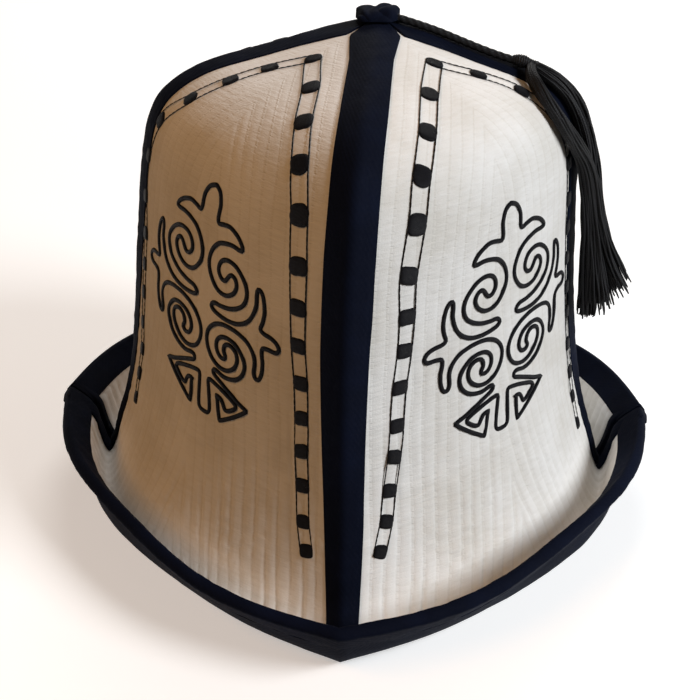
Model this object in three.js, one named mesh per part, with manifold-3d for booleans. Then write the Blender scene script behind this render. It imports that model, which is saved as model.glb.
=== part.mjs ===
// A tall kalpak: four felt panels sewn edge to edge and turned up at the foot into a brim.
// Black cloth bands cover the seams, black tape binds the brim, and a tassel hangs from the top.
// Millimetres, +Z up. The front seam faces -Y and the side seams face -X and +X. The origin is on
// the surface that the hat stands on, under the middle of the crown.

import * as THREE from "three";
import { mergeVertices } from "three/addons/utils/BufferGeometryUtils.js";
import Module from "manifold-3d";

// Crown
const CROWN_HEIGHT = 198; // from the table to the tips of the panels
const CROWN_HALF_DEPTH = 104; // from the axis to the front and rear seams, at head height
const CROWN_HALF_WIDTH = 93; // from the axis to the side seams, at head height
const CROWN_FULLNESS = 14; // how far a panel swells past the straight line between two seams
const CROWN_LEAN = 5; // how far the tips lean to +X
const CROWN_SWAY = 1.7; // how far the middle of the crown stands to -X

// Brim
const BRIM_RISE = 24; // from the fold's upper side to the brim's edge
const BRIM_OUT_FRONT = 21.5; // from the foot of the crown out to the edge, front and rear
const BRIM_OUT_SIDE = 21.5; // the same at the sides
const BRIM_FULLNESS = 8; // what the brim swells on top of the crown's foot

// Materials
const FELT = 2.5;
const CLOTH = 1;
const LAYER_GAP = 0.3; // between a layer and the one that it lies on
const SEAM_GAP = 0.3; // between two panels at a seam
const FLATTENING = 0.4; // how far the fold is pressed flat where it stands

// Black trim
const BAND_HALF_WIDTH = 9.6; // of the cloth bands, at their widest
const BINDING_WIDTH = 12; // of the tape along the brim's edge
const SLIT_TAPE_WIDTH = 4.5; // of the tape along the two side slits
const SLIT_WIDTH = 1; // the free opening between the front and the rear flap

// Knot, cord and tassel
const KNOT_HALF_WIDTH = 8;
const KNOT_HEIGHT = 5;
const CORD_DIAMETER = 3;
const HEAD_DIAMETER = 8;
const HEAD_LENGTH = 10;
const LOCK_DIAMETER = 4.6;

// Rows of the crown from the tips down. Depth, width and fullness are shares of the crown's half
// depth, half width and fullness, and the two heights are shares of its height.
const CROWN_ROWS = [
  { depth: 0.048, frontHeight: 1.0, width: 0.054, sideHeight: 1.0, fullness: 0.03 },
  { depth: 0.212, frontHeight: 0.984, width: 0.215, sideHeight: 0.98, fullness: 0.13 },
  { depth: 0.442, frontHeight: 0.95, width: 0.462, sideHeight: 0.942, fullness: 0.29 },
  { depth: 0.663, frontHeight: 0.908, width: 0.688, sideHeight: 0.907, fullness: 0.5 },
  { depth: 0.808, frontHeight: 0.858, width: 0.828, sideHeight: 0.865, fullness: 0.64 },
  { depth: 0.889, frontHeight: 0.795, width: 0.9, sideHeight: 0.815, fullness: 0.75 },
  { depth: 0.933, frontHeight: 0.705, width: 0.935, sideHeight: 0.735, fullness: 0.86 },
  { depth: 0.971, frontHeight: 0.575, width: 0.964, sideHeight: 0.6, fullness: 0.93 },
  { depth: 1.005, frontHeight: 0.435, width: 0.996, sideHeight: 0.45, fullness: 1.04 },
  { depth: 1.043, frontHeight: 0.3, width: 1.034, sideHeight: 0.305, fullness: 1.21 },
  { depth: 1.096, frontHeight: 0.185, width: 1.086, sideHeight: 0.185, fullness: 1.43 },
  { depth: 1.159, frontHeight: 0.095, width: 1.15, sideHeight: 0.0925, fullness: 1.64 },
];

// Rows from the foot of the crown through the fold to the brim's edge. The outs are shares of the
// two brim outs, the rises of the brim's rise, and fullness of the brim's fullness. Towards side
// and ends shape the swell: how far it sits nearer to the side seam, and how much it fills the
// quarter's two ends, as shares of the swell.
const BRIM_ROWS = [
  { frontOut: 0.3, frontRise: 0.17, sideOut: 0.14, sideRise: 0.19, fullness: 0.15, toSide: 0.1, ends: 0.03 },
  { frontOut: 0.48, frontRise: 0, sideOut: 0.27, sideRise: 0, fullness: 0.35, toSide: 0.1, ends: 0.06 },
  { frontOut: 0.637, frontRise: 0.087, sideOut: 0.372, sideRise: 0.15, fullness: 0.48, toSide: 0.1, ends: 0.07 },
  { frontOut: 0.79, frontRise: 0.286, sideOut: 0.465, sideRise: 0.48, fullness: 0.6, toSide: 0.07, ends: 0.08 },
  { frontOut: 0.91, frontRise: 0.5, sideOut: 0.572, sideRise: 0.813, fullness: 0.7, toSide: 0.04, ends: 0.09 },
  { frontOut: 1.12, frontRise: 0.88, sideOut: 1, sideRise: 1.145, fullness: 0.75, toSide: 0, ends: 0.1 },
];
const CROWN_TO_SIDE = 0.08;
const CROWN_ENDS = 0.02;

// Row numbers that the trim refers to
const FOOT = CROWN_ROWS.length - 1;
const FOLD = FOOT + 2;
const EDGE = FOOT + BRIM_ROWS.length;
const FACING_START = FOOT - 0.3; // the facing is turned in this far inside the crown
const PANEL_ROWS = [
  ...[0, 1, 2, 3, 3.5, 4, 4.5, 5, 6, 7, 8, 9, 10],
  ...[FOOT, FOOT + 0.6, FOLD - 0.5, FOLD, FOLD + 0.5, FOLD + 1, FOLD + 2, FOLD + 3, EDGE],
];
const FOLD_ROWS = PANEL_ROWS.filter((row) => row > FACING_START && row < EDGE);

// The band's half width down a seam, as shares of its widest: narrower at the tip and at the brim
const BAND_WIDTHS = [
  { row: 0, share: 0.83 },
  { row: 5, share: 0.87 },
  { row: 7, share: 1 },
  { row: 8, share: 0.86 },
  { row: EDGE, share: 0.6 },
];

// The knot's two folds of cloth: place and half size across as shares of its half width, and
// height as a share of its height
const KNOT_FOLDS = [
  { x: -0.4, y: 0.02, halfX: 0.62, halfY: 0.95, height: 0.8 },
  { x: 0.38, y: -0.05, halfX: 0.62, halfY: 1.0, height: 1 },
];

// The cord's line down the right side seam, from the knot. Row is a row of the crown, aside the
// distance towards the front and lift the height over the band, both in cord diameters.
const CORD_LINE = [
  { row: 0.4, aside: 0.6, lift: 0.68 },
  { row: 0.8, aside: 0.6, lift: 0.68 },
  { row: 1.2, aside: 0.5, lift: 0.68 },
  { row: 1.6, aside: 0.6, lift: 0.68 },
  { row: 2, aside: 0.9, lift: 0.72 },
  { row: 2.35, aside: 1.2, lift: 0.8 },
  { row: 2.65, aside: 1.5, lift: 1 },
];

// The tassel's line, as the cord's, but with aside and lift in head diameters
const TASSEL_LINE = [
  { row: 2.85, aside: 0.62, lift: 0.6 },
  { row: 3.3, aside: 0.8, lift: 0.62 },
  { row: 4.1, aside: 0.95, lift: 0.66 },
  { row: 5, aside: 0.95, lift: 0.68 },
  { row: 6, aside: 0.95, lift: 0.74 },
  { row: 6.9, aside: 1.0, lift: 0.95 },
  { row: 7.9, aside: 1.0, lift: 1.65 },
];

// Locks of the fringe. Across and over place a lock beside the tassel's line at its free end, in
// lock diameters, early is its share of that at the top, and length its share of the line.
const LOCKS = [
  { across: 1.7, over: -0.2, early: 0.7, length: 0.93 },
  { across: 1.1, over: 0.25, early: 0.6, length: 1 },
  { across: 0.5, over: -0.3, early: 0.5, length: 0.96 },
  { across: -0.1, over: 0.4, early: 0.4, length: 1.02 },
  { across: -0.5, over: -0.3, early: 0.5, length: 0.97 },
  { across: -1.2, over: 0.3, early: 1.1, length: 1.03 },
  { across: -1.7, over: 0.9, early: 0.3, length: 0.98 },
  { across: -0.6, over: 1.3, early: 0.25, length: 0.92 },
];

const FELT_WHITE = { color: 0xe9e4da, roughness: 0.95, metalness: 0 };
const CLOTH_BLACK = { color: 0x14161f, roughness: 0.85, metalness: 0 };
const YARN_BLACK = { color: 0x0f1014, roughness: 0.7, metalness: 0 };

const wasm = await Module();
wasm.setup();

const foldFloor = FELT + LAYER_GAP + CLOTH - FLATTENING; // the fold's upper side over the table
const slitHalf = SLIT_WIDTH / 2 + CLOTH + LAYER_GAP; // from a slit's middle to the felt

// The rows in millimetres, from the tips to the brim's edge.
function allRows() {
  const crown = CROWN_ROWS.map((row) => ({
    front: row.depth * CROWN_HALF_DEPTH,
    frontZ: row.frontHeight * CROWN_HEIGHT,
    side: row.width * CROWN_HALF_WIDTH,
    sideZ: row.sideHeight * CROWN_HEIGHT,
    swell: row.fullness * CROWN_FULLNESS,
    toSide: CROWN_TO_SIDE,
    ends: CROWN_ENDS,
  }));
  const foot = crown[FOOT];
  const brim = BRIM_ROWS.map((row) => ({
    front: foot.front + row.frontOut * BRIM_OUT_FRONT,
    frontZ: foldFloor + row.frontRise * BRIM_RISE,
    side: foot.side + row.sideOut * BRIM_OUT_SIDE,
    sideZ: foldFloor + row.sideRise * BRIM_RISE,
    swell: foot.swell + row.fullness * BRIM_FULLNESS,
    toSide: row.toSide,
    ends: row.ends,
  }));
  return [...crown, ...brim];
}
const ROWS = allRows();

// A smooth value of one column at any place between the rows.
function between(key, place) {
  const at = THREE.MathUtils.clamp(place, 0, EDGE);
  const i = Math.min(Math.floor(at), EDGE - 1);
  const value = (k) => ROWS[THREE.MathUtils.clamp(k, 0, EDGE)][key];
  const [a, b, c, d] = [value(i - 1), value(i), value(i + 1), value(i + 2)];
  const u = at - i;
  return b + 0.5 * u * (c - a + u * (2 * a - 5 * b + 4 * c - d + u * (3 * (b - c) + d - a)));
}

function section(place) {
  const row = {};
  for (const key of Object.keys(ROWS[0])) row[key] = between(key, place);
  row.chord = Math.hypot(row.front, row.side);
  return row;
}

// A point of the felt's white side in the front right quarter. Across runs from 0 at the front
// seam to 1 at the side seam, and down is a row. Past the edge, down counts in millimetres.
function feltPoint(across, down) {
  if (down > EDGE) {
    const edge = feltPoint(across, EDGE);
    const run = edge.clone().sub(feltPoint(across, EDGE - 0.05)).normalize();
    return edge.addScaledVector(run, down - EDGE);
  }
  const row = section(down);
  const wave = (count) => Math.sin(count * Math.PI * across);
  const swell = row.swell * (wave(1) - row.toSide * wave(2) + row.ends * wave(3));
  const toSide = Math.sin((Math.PI / 2) * across) ** 2;
  return new THREE.Vector3(
    row.side * across + (swell * row.front) / row.chord,
    -(row.front * (1 - across) + (swell * row.side) / row.chord),
    row.frontZ + (row.sideZ - row.frontZ) * toSide,
  );
}

// The felt's outward direction, mitred on a seam so that two panels' layers meet there.
function feltNormal(across, down) {
  const step = 0.002;
  const [a0, a1] = [Math.max(across - step, 0), Math.min(across + step, 1)];
  const [d0, d1] = [Math.max(down - 0.02, 0), Math.min(down + 0.02, EDGE)];
  const alongSection = feltPoint(a1, Math.min(down, EDGE)).sub(feltPoint(a0, Math.min(down, EDGE)));
  const alongSeam = feltPoint(across, d1).sub(feltPoint(across, Math.min(d0, EDGE - 0.02)));
  const normal = alongSeam.cross(alongSection).normalize();
  if (across > 0 && across < 1) return normal;
  const mitre = normal.clone().setComponent(across === 0 ? 0 : 1, 0).normalize();
  return mitre.divideScalar(mitre.dot(normal));
}

function layerPoint(across, down, height) {
  return feltPoint(across, down).addScaledVector(feltNormal(across, down), height);
}

// Half the width of a seam band as a share of the section's straight line.
function bandShare(down) {
  const row = Math.min(down, EDGE);
  const next = Math.max(BAND_WIDTHS.findIndex((entry) => entry.row >= row), 1);
  const [a, b] = [BAND_WIDTHS[next - 1], BAND_WIDTHS[next]];
  const share = THREE.MathUtils.mapLinear(row, a.row, b.row, a.share, b.share);
  const { chord, swell, ends } = section(row);
  const length = Math.hypot(chord, swell * Math.PI * (1 + 3 * ends)); // of the section, at its ends
  return Math.min((share * BAND_HALF_WIDTH) / length, 0.45);
}

// The columns across a panel: close at the seams, where the bands lie, and even between them.
function panelColumns(down) {
  const band = bandShare(down);
  const even = [0.2, 0.4, 0.6, 0.8].map((share) => band + share * (1 - 2 * band));
  return [0, 0.4 * band, band, ...even, 1 - band, 1 - 0.4 * band, 1];
}

// How far the felt stops short of the middle of a side seam: the slit opens below the fold.
function sideStop(down) {
  return THREE.MathUtils.mapLinear(
    THREE.MathUtils.clamp(down, FOLD - 1, FOLD), FOLD - 1, FOLD, SEAM_GAP / 2, slitHalf,
  );
}

// The place down a flap that lies a distance in from the brim's edge.
function downFromEdge(across, distance) {
  const step = 0.05;
  let down = EDGE;
  let left = distance;
  while (down > FOLD) {
    const length = feltPoint(across, down).distanceTo(feltPoint(across, down - step));
    if (length >= left) return down - (step * left) / length;
    left -= length;
    down -= step;
  }
  return down;
}

function manifoldOf(positions, indices) {
  const geometry = new THREE.BufferGeometry();
  geometry.setAttribute("position", new THREE.Float32BufferAttribute(positions, 3));
  geometry.setIndex(indices);
  return manifoldOfGeometry(geometry);
}

function manifoldOfGeometry(source) {
  const bare = source.clone();
  bare.deleteAttribute("normal");
  bare.deleteAttribute("uv");
  const merged = mergeVertices(bare, 1e-4);
  const solid = new wasm.Manifold(new wasm.Mesh({
    numProp: 3,
    vertProperties: new Float32Array(merged.attributes.position.array),
    triVerts: new Uint32Array(merged.index.array),
  }));
  return solid;
}

// A closed solid between two equal grids of points. A cell's diagonal turns the other way where
// turned says so, which keeps the facets of mirrored halves parallel to the felt's own.
function solidBetween(low, high, turned = () => false) {
  const rows = low.length;
  const columns = low[0].length;
  const positions = [...low.flat(), ...high.flat()].flatMap((point) => point.toArray());
  const at = (layer, j, i) => layer * rows * columns + j * columns + i;
  const indices = [];
  const quad = (a, b, c, d, turn) => {
    if (turn) indices.push(a, b, d, b, c, d);
    else indices.push(a, b, c, a, c, d);
  };
  for (let j = 0; j < rows - 1; j++) {
    for (let i = 0; i < columns - 1; i++) {
      const turn = turned(i);
      quad(at(1, j, i), at(1, j + 1, i), at(1, j + 1, i + 1), at(1, j, i + 1), turn);
      quad(at(0, j, i + 1), at(0, j + 1, i + 1), at(0, j + 1, i), at(0, j, i), !turn);
    }
    quad(at(0, j, 0), at(0, j + 1, 0), at(1, j + 1, 0), at(1, j, 0));
    const end = columns - 1;
    quad(at(1, j, end), at(1, j + 1, end), at(0, j + 1, end), at(0, j, end));
  }
  for (let i = 0; i < columns - 1; i++) {
    const end = rows - 1;
    quad(at(1, 0, i), at(1, 0, i + 1), at(0, 0, i + 1), at(0, 0, i));
    quad(at(0, end, i), at(0, end, i + 1), at(1, end, i + 1), at(1, end, i));
  }
  return manifoldOf(positions, facingOut(positions, indices));
}

// The triangles, turned round if they enclose their volume inside out.
function facingOut(positions, indices) {
  const corner = (index) => new THREE.Vector3().fromArray(positions, 3 * index);
  let volume = 0;
  for (let i = 0; i < indices.length; i += 3) {
    const [a, b, c] = [corner(indices[i]), corner(indices[i + 1]), corner(indices[i + 2])];
    volume += a.dot(b.cross(c));
  }
  return volume < 0 ? indices.reverse() : indices;
}

// Puts a point of the front right quarter into a quarter of the hat, and leans it with the crown.
function toQuarter(point, right, front) {
  const up = Math.max(point.z, 0) / CROWN_HEIGHT;
  const lean = CROWN_LEAN * up ** 10 - CROWN_SWAY * Math.sin(Math.PI * Math.min(up, 1)) ** 2;
  return new THREE.Vector3(right * point.x + lean, front * point.y, point.z);
}

// A grid of points over a strip of the hat. Each column has its quarter and its place across. The
// two stops, where given, draw a seam's column back along the surface to a distance from the seam.
function gridOver(columnsAt, rows, height, { middleStop, sideStop: stop } = {}) {
  return rows.map((down) => {
    const columns = columnsAt(down);
    const points = columns.map(({ across }) => layerPoint(across, down, height));
    return columns.map(({ across, right, front }, i) => {
      const point = points[i].clone();
      const next = points[i === 0 ? 1 : i - 1];
      if (across === 0 && middleStop) point.lerp(next, middleStop(down) / next.x);
      if (across === 1 && stop) point.lerp(next, -stop(down) / next.y);
      return toQuarter(point, right, front);
    });
  });
}

// Columns of one half of the hat, from its left side seam over the middle seam to the right one.
function halfColumns(front, from = 1) {
  return (down) => {
    const right = panelColumns(down).filter((across) => across < from - 1e-6);
    if (from === 1) right.push(1);
    const left = right.slice(1).reverse();
    return [
      ...left.map((across) => ({ across, right: -1, front })),
      ...right.map((across) => ({ across, right: 1, front })),
    ];
  };
}

function feltPanel(right, front) {
  const columns = (down) => panelColumns(down).map((across) => ({ across, right, front }));
  const stops = { middleStop: () => SEAM_GAP / 2, sideStop };
  return solidBetween(
    gridOver(columns, PANEL_ROWS, -FELT, stops),
    gridOver(columns, PANEL_ROWS, 0, stops),
  );
}

// A band of cloth over the front or the rear seam. It runs through the fold and up the brim.
function middleBand(front) {
  const end = downFromEdge(0, BINDING_WIDTH + 2 * LAYER_GAP);
  const rows = [...PANEL_ROWS.filter((row) => row < end - 0.1), end];
  const columns = (down) => {
    const band = bandShare(down);
    const half = [0.4 * band, band];
    return [
      ...half.toReversed().map((across) => ({ across, right: -1, front })),
      { across: 0, right: 1, front },
      ...half.map((across) => ({ across, right: 1, front })),
    ];
  };
  return bandOver(columns, rows);
}

// A band of cloth over a side seam. It ends in the fold, where the slit begins.
function sideBand(right) {
  const rows = [...PANEL_ROWS.filter((row) => row < FOLD - 0.6), FOLD - 0.5];
  const columns = (down) => {
    const band = bandShare(down);
    const half = [1 - band, 1 - 0.4 * band];
    return [
      ...half.map((across) => ({ across, right, front: 1 })),
      { across: 1, right, front: 1 },
      ...half.toReversed().map((across) => ({ across, right, front: -1 })),
    ];
  };
  return bandOver(columns, rows);
}

function bandOver(columns, rows) {
  return solidBetween(
    gridOver(columns, rows, LAYER_GAP),
    gridOver(columns, rows, LAYER_GAP + CLOTH),
    (i) => i < 2,
  );
}

// The felt of one flap with a margin round it, to be cut out of what wraps it.
function feltRoom(front) {
  const rows = [FACING_START - 0.3, ...FOLD_ROWS, EDGE, EDGE + LAYER_GAP];
  const stops = { sideStop: (down) => sideStop(down) - (down < FOLD - 1 ? SEAM_GAP : LAYER_GAP) };
  return solidBetween(
    gridOver(halfColumns(front), rows, -FELT - LAYER_GAP, stops),
    gridOver(halfColumns(front), rows, LAYER_GAP, stops),
    (i) => i < panelColumns(0).length - 1,
  );
}

// What the tape of one flap covers, as a thick slab through the felt. With a margin, it is the
// room that the tape needs in what lies beside it.
function tapeSlab(front, margin) {
  const low = -FELT - LAYER_GAP - CLOTH - 3 * margin;
  const high = LAYER_GAP + CLOTH + 3 * margin;
  const stops = { sideStop: () => SLIT_WIDTH / 2 - 3 * margin / 2 };
  const half = halfColumns(front);
  const shares = [0, 0.5, 1];
  const overEdge = (height) =>
    [...shares, 2].map((share) =>
      half(EDGE).map((column) => {
        const start = downFromEdge(column.across, BINDING_WIDTH + 1.5 * margin);
        const past = EDGE + LAYER_GAP + CLOTH + margin;
        const down = share > 1 ? past : start + share * (EDGE - start);
        const { across, right } = column;
        const point = layerPoint(across, down, height);
        if (across === 1) {
          const next = layerPoint(panelColumns(EDGE).at(-2), down, height);
          point.lerp(next, -stops.sideStop() / next.y);
        }
        return toQuarter(point, right, front);
      }),
    );
  const alongSlit = (right) => {
    const rows = [FOLD, FOLD + 0.5, FOLD + 1, FOLD + 2, downFromEdge(1, BINDING_WIDTH) + 0.1];
    if (margin > 0) rows[0] -= 0.1;
    const columns = (down) => {
      const width = (slitHalf + SLIT_TAPE_WIDTH + margin) / section(down).chord;
      return [1 - width, 1 - width / 2, 1].map((across) => ({ across, right, front }));
    };
    return solidBetween(
      gridOver(columns, rows, low - 7 * margin, stops),
      gridOver(columns, rows, high, stops),
      () => right < 0,
    );
  };
  const turned = (i) => i < panelColumns(EDGE).length - 1;
  return solidBetween(overEdge(low), overEdge(high), turned)
    .add(alongSlit(1))
    .add(alongSlit(-1));
}

// Everything under the table, to be cut off what stands on it.
function underTable() {
  const size = 4 * CROWN_HEIGHT;
  const box = new THREE.BoxGeometry(size, size, size).translate(0, 0, -size / 2);
  return manifoldOfGeometry(box);
}

// The tape that wraps one flap's edge and its two slit edges.
function brimBinding(front) {
  return largest(tapeSlab(front, 0).subtract(feltRoom(front)).subtract(underTable()));
}

// The black facing on one flap's outer side, from inside the crown round the fold to the tape.
function brimFacing(front) {
  const rows = [FACING_START, ...FOLD_ROWS, EDGE - 0.5];
  const stops = { sideStop: () => SEAM_GAP / 2 };
  const sheet = solidBetween(
    gridOver(halfColumns(front), rows, -FELT - LAYER_GAP - CLOTH, stops),
    gridOver(halfColumns(front), rows, -FELT, stops),
    (i) => i < panelColumns(0).length - 1,
  );
  return largest(sheet.subtract(feltRoom(front)).subtract(tapeSlab(front, LAYER_GAP)))
    .subtract(underTable());
}

// The biggest piece of a solid, without the slivers that a cut can leave.
function largest(solid) {
  return solid.decompose().reduce((a, b) => (a.volume() > b.volume() ? a : b));
}

// The knot of folded cloth over the four tips: two humps on a flat foot.
function crownKnot() {
  const foot = layerPoint(0, 0, LAYER_GAP + CLOTH).z + LAYER_GAP;
  const humps = KNOT_FOLDS.map((fold) => {
    const hump = new THREE.SphereGeometry(1, 12, 9).rotateX(Math.PI / 2).scale(
      fold.halfX * KNOT_HALF_WIDTH,
      fold.halfY * KNOT_HALF_WIDTH,
      fold.height * KNOT_HEIGHT,
    );
    const place = [fold.x * KNOT_HALF_WIDTH + CROWN_LEAN, fold.y * KNOT_HALF_WIDTH, foot];
    return manifoldOfGeometry(hump.translate(...place));
  });
  const below = new THREE.BoxGeometry(4 * KNOT_HALF_WIDTH, 4 * KNOT_HALF_WIDTH, 2 * KNOT_HEIGHT);
  below.translate(CROWN_LEAN, 0, foot - KNOT_HEIGHT);
  return humps[0].add(humps[1]).subtract(manifoldOfGeometry(below));
}

// A closed tube with its own radius at each point of its line.
function tubeAlong(points, radii, sides) {
  const curve = new THREE.CatmullRomCurve3(points, false, "centripetal");
  const steps = radii.length - 1;
  const frames = curve.computeFrenetFrames(steps, false);
  const positions = [];
  const indices = [];
  radii.forEach((radius, j) => {
    const centre = curve.getPointAt(j / steps);
    for (let i = 0; i < sides; i++) {
      const angle = (2 * Math.PI * i) / sides;
      const spoke = frames.normals[j].clone().multiplyScalar(Math.cos(angle))
        .addScaledVector(frames.binormals[j], Math.sin(angle));
      positions.push(...centre.clone().addScaledVector(spoke, radius).toArray());
    }
  });
  for (let j = 0; j < steps; j++) {
    for (let i = 0; i < sides; i++) {
      const [a, b] = [j * sides + i, j * sides + ((i + 1) % sides)];
      indices.push(a, b, b + sides, a, b + sides, a + sides);
    }
  }
  for (let i = 1; i < sides - 1; i++) {
    indices.push(0, i + 1, i);
    indices.push(steps * sides, steps * sides + i, steps * sides + i + 1);
  }
  return manifoldOf(positions, facingOut(positions, indices));
}

// A point over the right side seam, aside towards the front and lifted off the felt.
function overSideSeam(row, aside, lift) {
  const across = 1 - aside / section(row).chord;
  const point = layerPoint(Math.min(across, 0.9999), row, lift);
  return toQuarter(point, 1, 1);
}

function pointsOnLine(line, unit) {
  return line.map(({ row, aside, lift }) =>
    overSideSeam(row, aside * unit, LAYER_GAP + CLOTH + lift * unit),
  );
}

// The tassel: a bound head at the end of the cord, and locks of yarn fused to it.
function tassel() {
  const points = pointsOnLine(TASSEL_LINE, HEAD_DIAMETER);
  const line = new THREE.CatmullRomCurve3(points, false, "centripetal");
  const length = line.getLength();
  const headShare = HEAD_LENGTH / length;
  const headPoints = [0, 0.33, 0.66, 1].map((share) => line.getPointAt(share * headShare));
  const profile = [0.55, 0.9, 1, 0.8, 0.95, 0.9].map((share) => (share * HEAD_DIAMETER) / 2);
  let solid = tubeAlong(headPoints, profile, 10);
  const start = line.getPointAt(0.8 * headShare);
  for (const lock of LOCKS) {
    const end = Math.min(lock.length, 1);
    const route = [start];
    for (const share of [0.15, 0.3, 0.45, 0.6, 0.8, 1]) {
      const at = headShare + share * (end - headShare);
      const centre = line.getPointAt(at);
      const run = line.getTangentAt(at);
      const outward = new THREE.Vector3(1, 0, 0).addScaledVector(run, -run.x).normalize();
      const sideways = run.clone().cross(outward).normalize();
      const spread = LOCK_DIAMETER * (lock.early + (1 - lock.early) * share);
      route.push(centre
        .addScaledVector(sideways, -lock.across * spread)
        .addScaledVector(outward, lock.over * spread));
    }
    route.at(-1).z -= (lock.length - end) * length;
    const radii = [0.5, 0.75, 0.9, 1, 1, 1, 0.95, 0.8].map((share) => (share * LOCK_DIAMETER) / 2);
    solid = solid.add(tubeAlong(route, radii, 5));
  }
  return largest(solid);
}

function tasselCord() {
  const steps = 14;
  const radii = Array(steps + 1).fill(CORD_DIAMETER / 2);
  return tubeAlong(pointsOnLine(CORD_LINE, CORD_DIAMETER), radii, 8);
}

function meshOf(name, solid, look) {
  const { vertProperties, triVerts } = solid.getMesh();
  const geometry = new THREE.BufferGeometry();
  geometry.setAttribute("position", new THREE.BufferAttribute(vertProperties, 3));
  geometry.setIndex(new THREE.BufferAttribute(triVerts, 1));
  geometry.computeVertexNormals();
  const mesh = new THREE.Mesh(geometry, new THREE.MeshStandardMaterial(look));
  mesh.name = name;
  return mesh;
}

function buildHat() {
  const hat = new THREE.Group();
  const fronts = [["front", 1], ["rear", -1]];
  const rights = [["left", -1], ["right", 1]];
  for (const [end, front] of fronts) {
    for (const [side, right] of rights) {
      hat.add(meshOf(`panel_${end}_${side}`, feltPanel(right, front), FELT_WHITE));
    }
    hat.add(meshOf(`seam_band_${end}`, middleBand(front), CLOTH_BLACK));
    hat.add(meshOf(`brim_facing_${end}`, brimFacing(front), CLOTH_BLACK));
    hat.add(meshOf(`brim_binding_${end}`, brimBinding(front), CLOTH_BLACK));
  }
  for (const [side, right] of rights) {
    hat.add(meshOf(`seam_band_${side}`, sideBand(right), CLOTH_BLACK));
  }
  hat.add(meshOf("crown_knot", crownKnot(), CLOTH_BLACK));
  hat.add(meshOf("tassel_cord", tasselCord(), YARN_BLACK));
  hat.add(meshOf("tassel", tassel(), YARN_BLACK));
  return hat;
}

export default buildHat();
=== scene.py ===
"""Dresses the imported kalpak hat: quilted felt, black cloth trim, embroidery, knot and tassel."""

import math

import bpy
import numpy as np
from bpy.props import FloatProperty, FloatVectorProperty, IntProperty, PointerProperty
from mathutils import Matrix, Vector


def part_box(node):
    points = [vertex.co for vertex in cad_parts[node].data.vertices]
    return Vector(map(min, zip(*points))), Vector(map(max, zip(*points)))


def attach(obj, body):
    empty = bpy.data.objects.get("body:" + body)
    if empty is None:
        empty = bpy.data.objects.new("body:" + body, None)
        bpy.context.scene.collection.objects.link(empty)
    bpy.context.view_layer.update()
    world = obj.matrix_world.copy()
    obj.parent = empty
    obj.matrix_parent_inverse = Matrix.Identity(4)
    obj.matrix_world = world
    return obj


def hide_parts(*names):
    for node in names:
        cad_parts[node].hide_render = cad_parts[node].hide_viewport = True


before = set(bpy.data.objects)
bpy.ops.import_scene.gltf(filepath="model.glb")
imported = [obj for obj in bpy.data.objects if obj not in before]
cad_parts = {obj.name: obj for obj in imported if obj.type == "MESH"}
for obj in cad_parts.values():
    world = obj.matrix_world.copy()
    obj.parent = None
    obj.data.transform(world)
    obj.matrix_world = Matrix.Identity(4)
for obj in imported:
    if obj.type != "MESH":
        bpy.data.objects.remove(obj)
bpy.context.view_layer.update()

bl_info = {
    "name": "Felt Kalpak Hat",
    "version": (1, 0, 0),
    "blender": (4, 5, 0),
    "location": "3D View > Sidebar > Kalpak",
    "description": "Builds a white felt kalpak with black trim, embroidery and a tassel",
    "category": "Object",
}

MM = 0.001

# The camera that fits the photograph: its place in metres from the middle of the hat's foot, its
# turns in degrees, and its focal length and shift in pixels of the picture
CAMERA_OUT = 0.4403
CAMERA_UP = 0.2945
CAMERA_PITCH = 28.5
CAMERA_AZIMUTH = 1.25
CAMERA_ROLL = 1.45
SENSOR_WIDTH = 36
PICTURE_PIXELS = 700
FOCAL_PIXELS = 1136
SHIFT_PIXELS = -6.4
# The soft lights: name, place and aim in metres, width, power and linear colour
LIGHTS = [
    ("key", (1.15, -0.45, 0.86), (0, 0, 0.05), 0.7, 19.5, (0.95, 0.975, 1.0)),
    ("fill", (-0.9, -0.6, 1.0), (0, 0, 0.05), 0.8, 5.2, (1.0, 0.52, 0.19)),
    ("back", (0.0, 1.3, 1.2), (0, 0.9, 0.05), 1.0, 11, (1.0, 0.99, 0.97)),
]
ROOM_COLOUR = (1.0, 0.88, 0.74, 1)
ROOM_STRENGTH = 0.05
# The floor in metres: half its side, and the ring in which it curves up. It lies a little under the
# hat, so that the two share no plane.
FLOOR_HALF = 3
FLOOR_FLAT = 1.9
FLOOR_CURVE = 1.4
FLOOR_RISE = 0.9
FLOOR_DROP = 0.2 * MM

# The felt's surface, as the solids have it: millimetres, rows from the tips down to the brim's edge.
CROWN_HEIGHT = 198.0
CROWN_HALF_DEPTH = 104.0
CROWN_HALF_WIDTH = 93.0
CROWN_FULLNESS = 14.0
CROWN_LEAN = 5.0
CROWN_SWAY = 1.7
BRIM_RISE = 24.0
BRIM_OUT = 21.5
BRIM_FULLNESS = 8.0
FOLD_FLOOR = 3.4
# How far the crown's sections lean to the side seam, and how much fuller their ends are
CROWN_TO_SIDE = 0.08
CROWN_ENDS = 0.02
# depth, front height, width, side height, fullness
CROWN_ROWS = [
    (0.048, 1.0, 0.054, 1.0, 0.03),
    (0.212, 0.984, 0.215, 0.98, 0.13),
    (0.442, 0.95, 0.462, 0.942, 0.29),
    (0.663, 0.908, 0.688, 0.907, 0.5),
    (0.808, 0.858, 0.828, 0.865, 0.64),
    (0.889, 0.795, 0.9, 0.815, 0.75),
    (0.933, 0.705, 0.935, 0.735, 0.86),
    (0.971, 0.575, 0.964, 0.6, 0.93),
    (1.005, 0.435, 0.996, 0.45, 1.04),
    (1.043, 0.3, 1.034, 0.305, 1.21),
    (1.096, 0.185, 1.086, 0.185, 1.43),
    (1.159, 0.095, 1.15, 0.0925, 1.64),
]
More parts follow.
